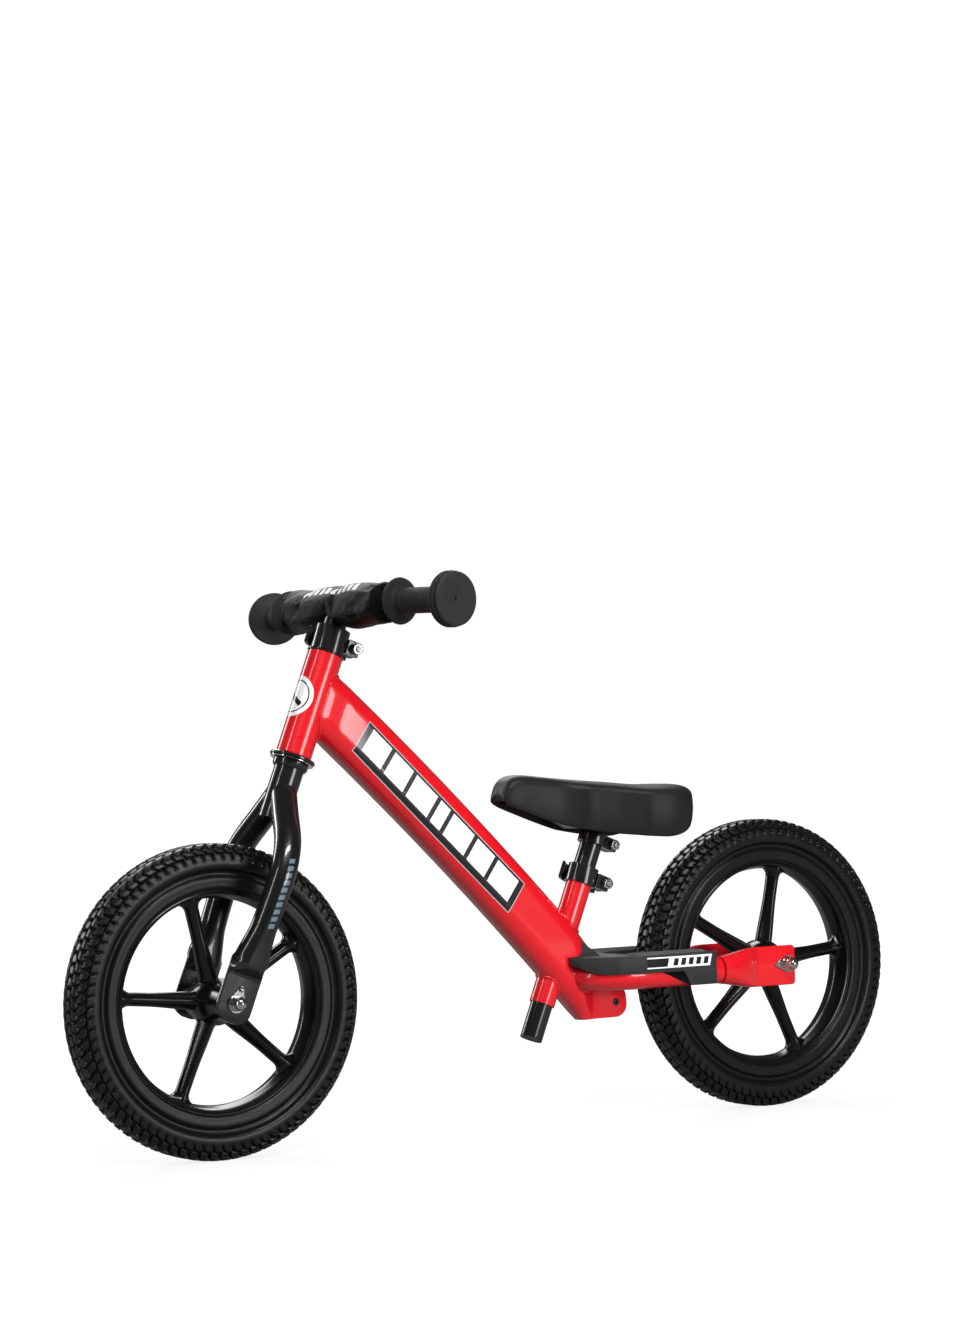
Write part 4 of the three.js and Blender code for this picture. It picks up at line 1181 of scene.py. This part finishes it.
def puff(piece):
    """Inflates a closed mesh as cloth, held at its ends, and limits how far a point may move."""
    remesh = piece.modifiers.new("remesh", "REMESH")
    remesh.mode = "VOXEL"
    remesh.voxel_size = PUFF["voxel"] * MM
    apply_modifiers(piece)
    start = np.array([v.co for v in piece.data.vertices])
    ends = piece.vertex_groups.new(name="ends")
    for vertex in piece.data.vertices:
        held = abs(vertex.co.y) > (PAD["half_length"] - PUFF["held"]) * MM
        ends.add([vertex.index], 1.0 if held else 0.0, "REPLACE")
    cloth = piece.modifiers.new("cloth", "CLOTH")
    cloth.settings.use_pressure = True
    cloth.settings.uniform_pressure_force = PUFF["pressure"]
    cloth.settings.effector_weights.gravity = 0
    cloth.settings.vertex_group_mass = "ends"
    cloth.settings.shrink_min = -0.05
    scene = bpy.context.scene
    for number in range(1, PUFF["steps"] + 1):
        scene.frame_set(number)
    apply_modifiers(piece)
    scene.frame_set(1)
    after = np.array([v.co for v in piece.data.vertices])
    step = after - start
    length = np.linalg.norm(step, axis=1, keepdims=True)
    after = start + step * np.minimum(1, PUFF["cap"] * MM / np.maximum(length, 1e-9))
    piece.data.vertices.foreach_set("co", after.ravel())
    piece.data.update()


def surface_finder(piece):
    """Finds the outside of the wrap: at an angle round the bar, at y along it, and `lift` above the cloth."""
    mesh = piece.data
    tree = BVHTree.FromPolygons([v.co for v in mesh.vertices], [p.vertices for p in mesh.polygons])
    spin = STEERING.to_3x3()

    def at(turn, y, lift=0.0):
        outward = spin @ Vector((cos(turn), 0, sin(turn)))
        axis = STEERING @ Vector((PAD["x"], float(y), PAD["z"]))
        start = (axis + 60 * outward) * MM
        hit = tree.ray_cast(start, -outward)[0] or start
        return STEERING_INVERSE @ (hit / MM + float(lift) * outward)

    return at


def stitches(path):
    """Short threads laid end to end along a path, one to each pair of its points."""
    parts = []
    for i in range(0, len(path) - 1, 2):
        start, stop = Vector(path[i]), Vector(path[i + 1])
        along = (stop - start).normalized()
        rings = []
        for share, size in ((0, 0.12), (0.2, 0.4), (0.8, 0.4), (1, 0.12)):
            rings.append(circle(start.lerp(stop, share), along, (0.2, 0.3, 0.93), size, 6))
        parts.append(loft(rings))
    return parts


def hem(at, y, width):
    """A folded band of cloth right round the wrap, `width` wide from y."""
    rings = []
    for turn in np.linspace(0, 2 * pi, 73)[:-1]:
        section = [(0, -0.6), (0, 0.7), (0.25, 1.2), (0.75, 1.2), (1, 0.7), (1, -0.6)]
        rings.append([at(turn, y + share * width, lift) for share, lift in section])
    return loft(rings, closed=True)


def flap(at):
    """The overlapping edge of the wrap, low along its front, a little loose."""
    rings = []
    reach = PAD["half_length"] - HEM["from_end"]
    end, loose_from = FLAP["end"], FLAP["loose_from"]
    for y in np.linspace(-reach, reach, 81):
        wave = 0.5 * sin(y / 9) + 0.3 * sin(y / 4.1 + 1)
        outer, inner = [], []
        for turn in np.radians(np.linspace(0, end + FLAP["ripple"] * wave, 12)):
            loose = smoothstep(radians(loose_from), radians(end), turn)
            lift = FLAP["lift"] + loose * (FLAP["loose_lift"] + 0.5 * wave)
            outer.append(at(turn, y, lift))
            inner.append(at(turn, y, lift - FLAP["thickness"]))
        rings.append(outer + inner[::-1])
    return loft(rings)


def add_wrap():
    """The padded wrap on the bar: puffed cloth, a hem at each end, a flap underneath and its stitching."""
    half = PAD["half_length"]
    wrap = solid("handlebar_wrap", [pad_shell(PAD["radius"] + PAD["swell"], half)], STEERING)
    puff(wrap)
    at = surface_finder(wrap)
    width = HEM["width"]
    hems = [hem(at, start, width) for start in (half - HEM["from_end"], HEM["from_end"] - half - width)]
    threads = []
    for y in (half - SEAM["from_end"], SEAM["from_end"] - half):
        threads += stitches([at(turn, y, 0.1) for turn in np.radians(np.arange(0, 360, 4))])
    along = np.arange(10 - half, half - 10, SEAM["step"])
    threads += stitches([at(radians(SEAM["turn"]), y, 2.0) for y in along])
    finish_piece(wrap, "fabric", "handlebar", sharp=80, replaces="handlebar_pad")
    subdivide(wrap)
    build("wrap_hems", hems, "fabric", "handlebar", STEERING, sharp=60)
    build("wrap_flap", [flap(at)], "fabric", "handlebar", STEERING, sharp=80)
    build("wrap_stitching", threads, "thread", "handlebar", STEERING, sharp=60)


def add_handlebar():
    stem = tube(STEM, STEM["bottom"], STEM["bar"] - 6)
    build("handlebar_stem_painted", [stem], "black", "handlebar", STEERING, replaces="handlebar_stem")
    build(
        "handlebar_crossbar_painted", [crossbar()], "black", "handlebar", STEERING,
        replaces="handlebar_crossbar",
    )
    for name, side in (("left", 1), ("right", -1)):
        outward = beyond_bend(1) - beyond_bend(0)
        outward.y *= side
        turn = Vector((0, 1, 0)).rotation_difference(outward).to_matrix().to_4x4()
        place = STEERING @ Matrix.Translation((0, side * BAR["bend_at"], STEM["bar"])) @ turn
        build(f"{name}_grip_moulded", [grip()], "grip", "handlebar", place, sharp=50, replaces=f"{name}_grip")
    add_wrap()


# ---- Stage ----

AIM = (0, 0, 0.25)
FLOOR = {"reach": 40, "near": 800, "far": 2400, "near_glow": 0.84, "far_glow": 1.02}  # reach in metres
CAMERA = {"place": (1.656, 2.7053, 0.361), "yaw": 31.25, "pitch": -1.65, "roll": -1.77, "lens": 87.78}
SOFTBOXES = [  # name, size, place, power, and whether it shows in reflections
    ("key", (1.3, 1.3), (1.9, 2.6, 2.3), 54, False),
    ("fill", (1.6, 0.9), (-1.1, 2.9, 0.4), 74, False),
    ("top", (2.2, 1.2), (-0.3, -0.2, 2.4), 20, False),
    ("back_fill", (1.6, 1.4), (-1.2, -2.8, 1.6), 45, False),
    ("back_box", (2.0, 1.0), (-0.5, -1.9, 1.9), 34, True),
    ("over_box", (1.3, 0.3), (0.4, 1.5, 2.1), 23, True),
    ("front_strip", (0.14, 1.9), (2.9, 0.5, 1.2), 12, True),
    ("side_box", (0.7, 0.5), (-0.62, 2.1, 0.45), 7.5, True),
    ("back_strip", (0.4, 1.6), (1.4, -2.6, 1.2), 18, True),
]


def add_camera():
    data = bpy.data.cameras.new("camera")
    camera = placed("camera", data)
    data.sensor_width = 36
    data.lens = CAMERA["lens"]
    data.clip_end = 100
    yaw, pitch, roll = (radians(CAMERA[angle]) for angle in ("yaw", "pitch", "roll"))
    forward = Vector((-sin(yaw) * cos(pitch), -cos(yaw) * cos(pitch), -sin(pitch)))
    right = forward.cross(Vector((0, 0, 1))).normalized()
    up = right.cross(forward)
    tilted_right = cos(roll) * right + sin(roll) * up
    tilted_up = cos(roll) * up - sin(roll) * right
    turn = Matrix((tilted_right, tilted_up, -forward)).transposed().to_4x4()
    camera.matrix_world = Matrix.Translation(CAMERA["place"]) @ turn
    bpy.context.scene.camera = camera


def add_softbox(name, size, place, power, reflected):
    """A soft rectangle of light aimed at the bike. Without reflections it only adds diffuse light."""
    data = bpy.data.lights.new(name, "AREA")
    data.shape = "RECTANGLE"
    data.size, data.size_y = size
    data.energy = power
    lamp = placed(name, data)
    lamp.location = place
    lamp.rotation_mode = "QUATERNION"
    lamp.rotation_quaternion = (Vector(AIM) - Vector(place)).to_track_quat("-Z", "Y")
    lamp.visible_glossy = reflected


def studio_world():
    """White behind the object, and a dim surround for reflections."""
    world = bpy.data.worlds.new("studio")
    world.use_nodes = True
    tree = world.node_tree
    background = tree.nodes["Background"]
    background.inputs["Color"].default_value = (1, 1, 1, 1)
    path = tree.nodes.new("ShaderNodeLightPath")
    strength = tree.nodes.new("ShaderNodeMapRange")
    strength.inputs["To Min"].default_value = 0.05
    strength.inputs["To Max"].default_value = 1.0
    tree.links.new(path.outputs["Is Camera Ray"], strength.inputs["Value"])
    tree.links.new(strength.outputs["Result"], background.inputs["Strength"])
    return world


def add_floor():
    """A pale floor that glows a little more with distance, so that it meets the backdrop without an edge."""
    look = Look("floor", (0.15, 0.15, 0.15), 0.95, Specular_IOR_Level=0.0)
    distance = look.length(look.axis(GROUND, 0), look.axis(GROUND, 1))
    stops = {1: FLOOR["near"], 2: FLOOR["far"], 3: FLOOR["near_glow"], 4: FLOOR["far_glow"]}
    glow = look.node("ShaderNodeMapRange", {0: distance, **stops}).outputs["Result"]
    seen = look.node("ShaderNodeLightPath").outputs["Is Camera Ray"]
    look.shader.inputs["Emission Color"].default_value = (1, 1, 1, 1)
    look.feed("Emission Strength", look.math("MULTIPLY", glow, look.spread(seen, 0.06, 1.0)))
    floor = placed("floor", bpy.data.meshes.new("floor"))
    corners = [(x * FLOOR["reach"], y * FLOOR["reach"], 0) for x, y in ((-1, -1), (1, -1), (1, 1), (-1, 1))]
    floor.data.from_pydata(corners, [], [(0, 1, 2, 3)])
    floor.data.materials.append(look.material)


def add_stage():
    scene = bpy.context.scene
    scene.view_settings.view_transform = "Standard"
    scene.world = studio_world()
    add_floor()
    for softbox in SOFTBOXES:
        add_softbox(*softbox)


add_camera()
add_stage()
for prefix in ("front", "rear"):
    add_tyre(prefix)
    add_wheel(prefix)
add_axle("front", STEERING @ Matrix.Translation((FORK_OFFSET, 0, 0)), "fork", 90)
add_axle("rear", HUBS["rear"], "frame", 0)
add_frame()
add_footrests()
add_fork()
add_seat()
add_handlebar()
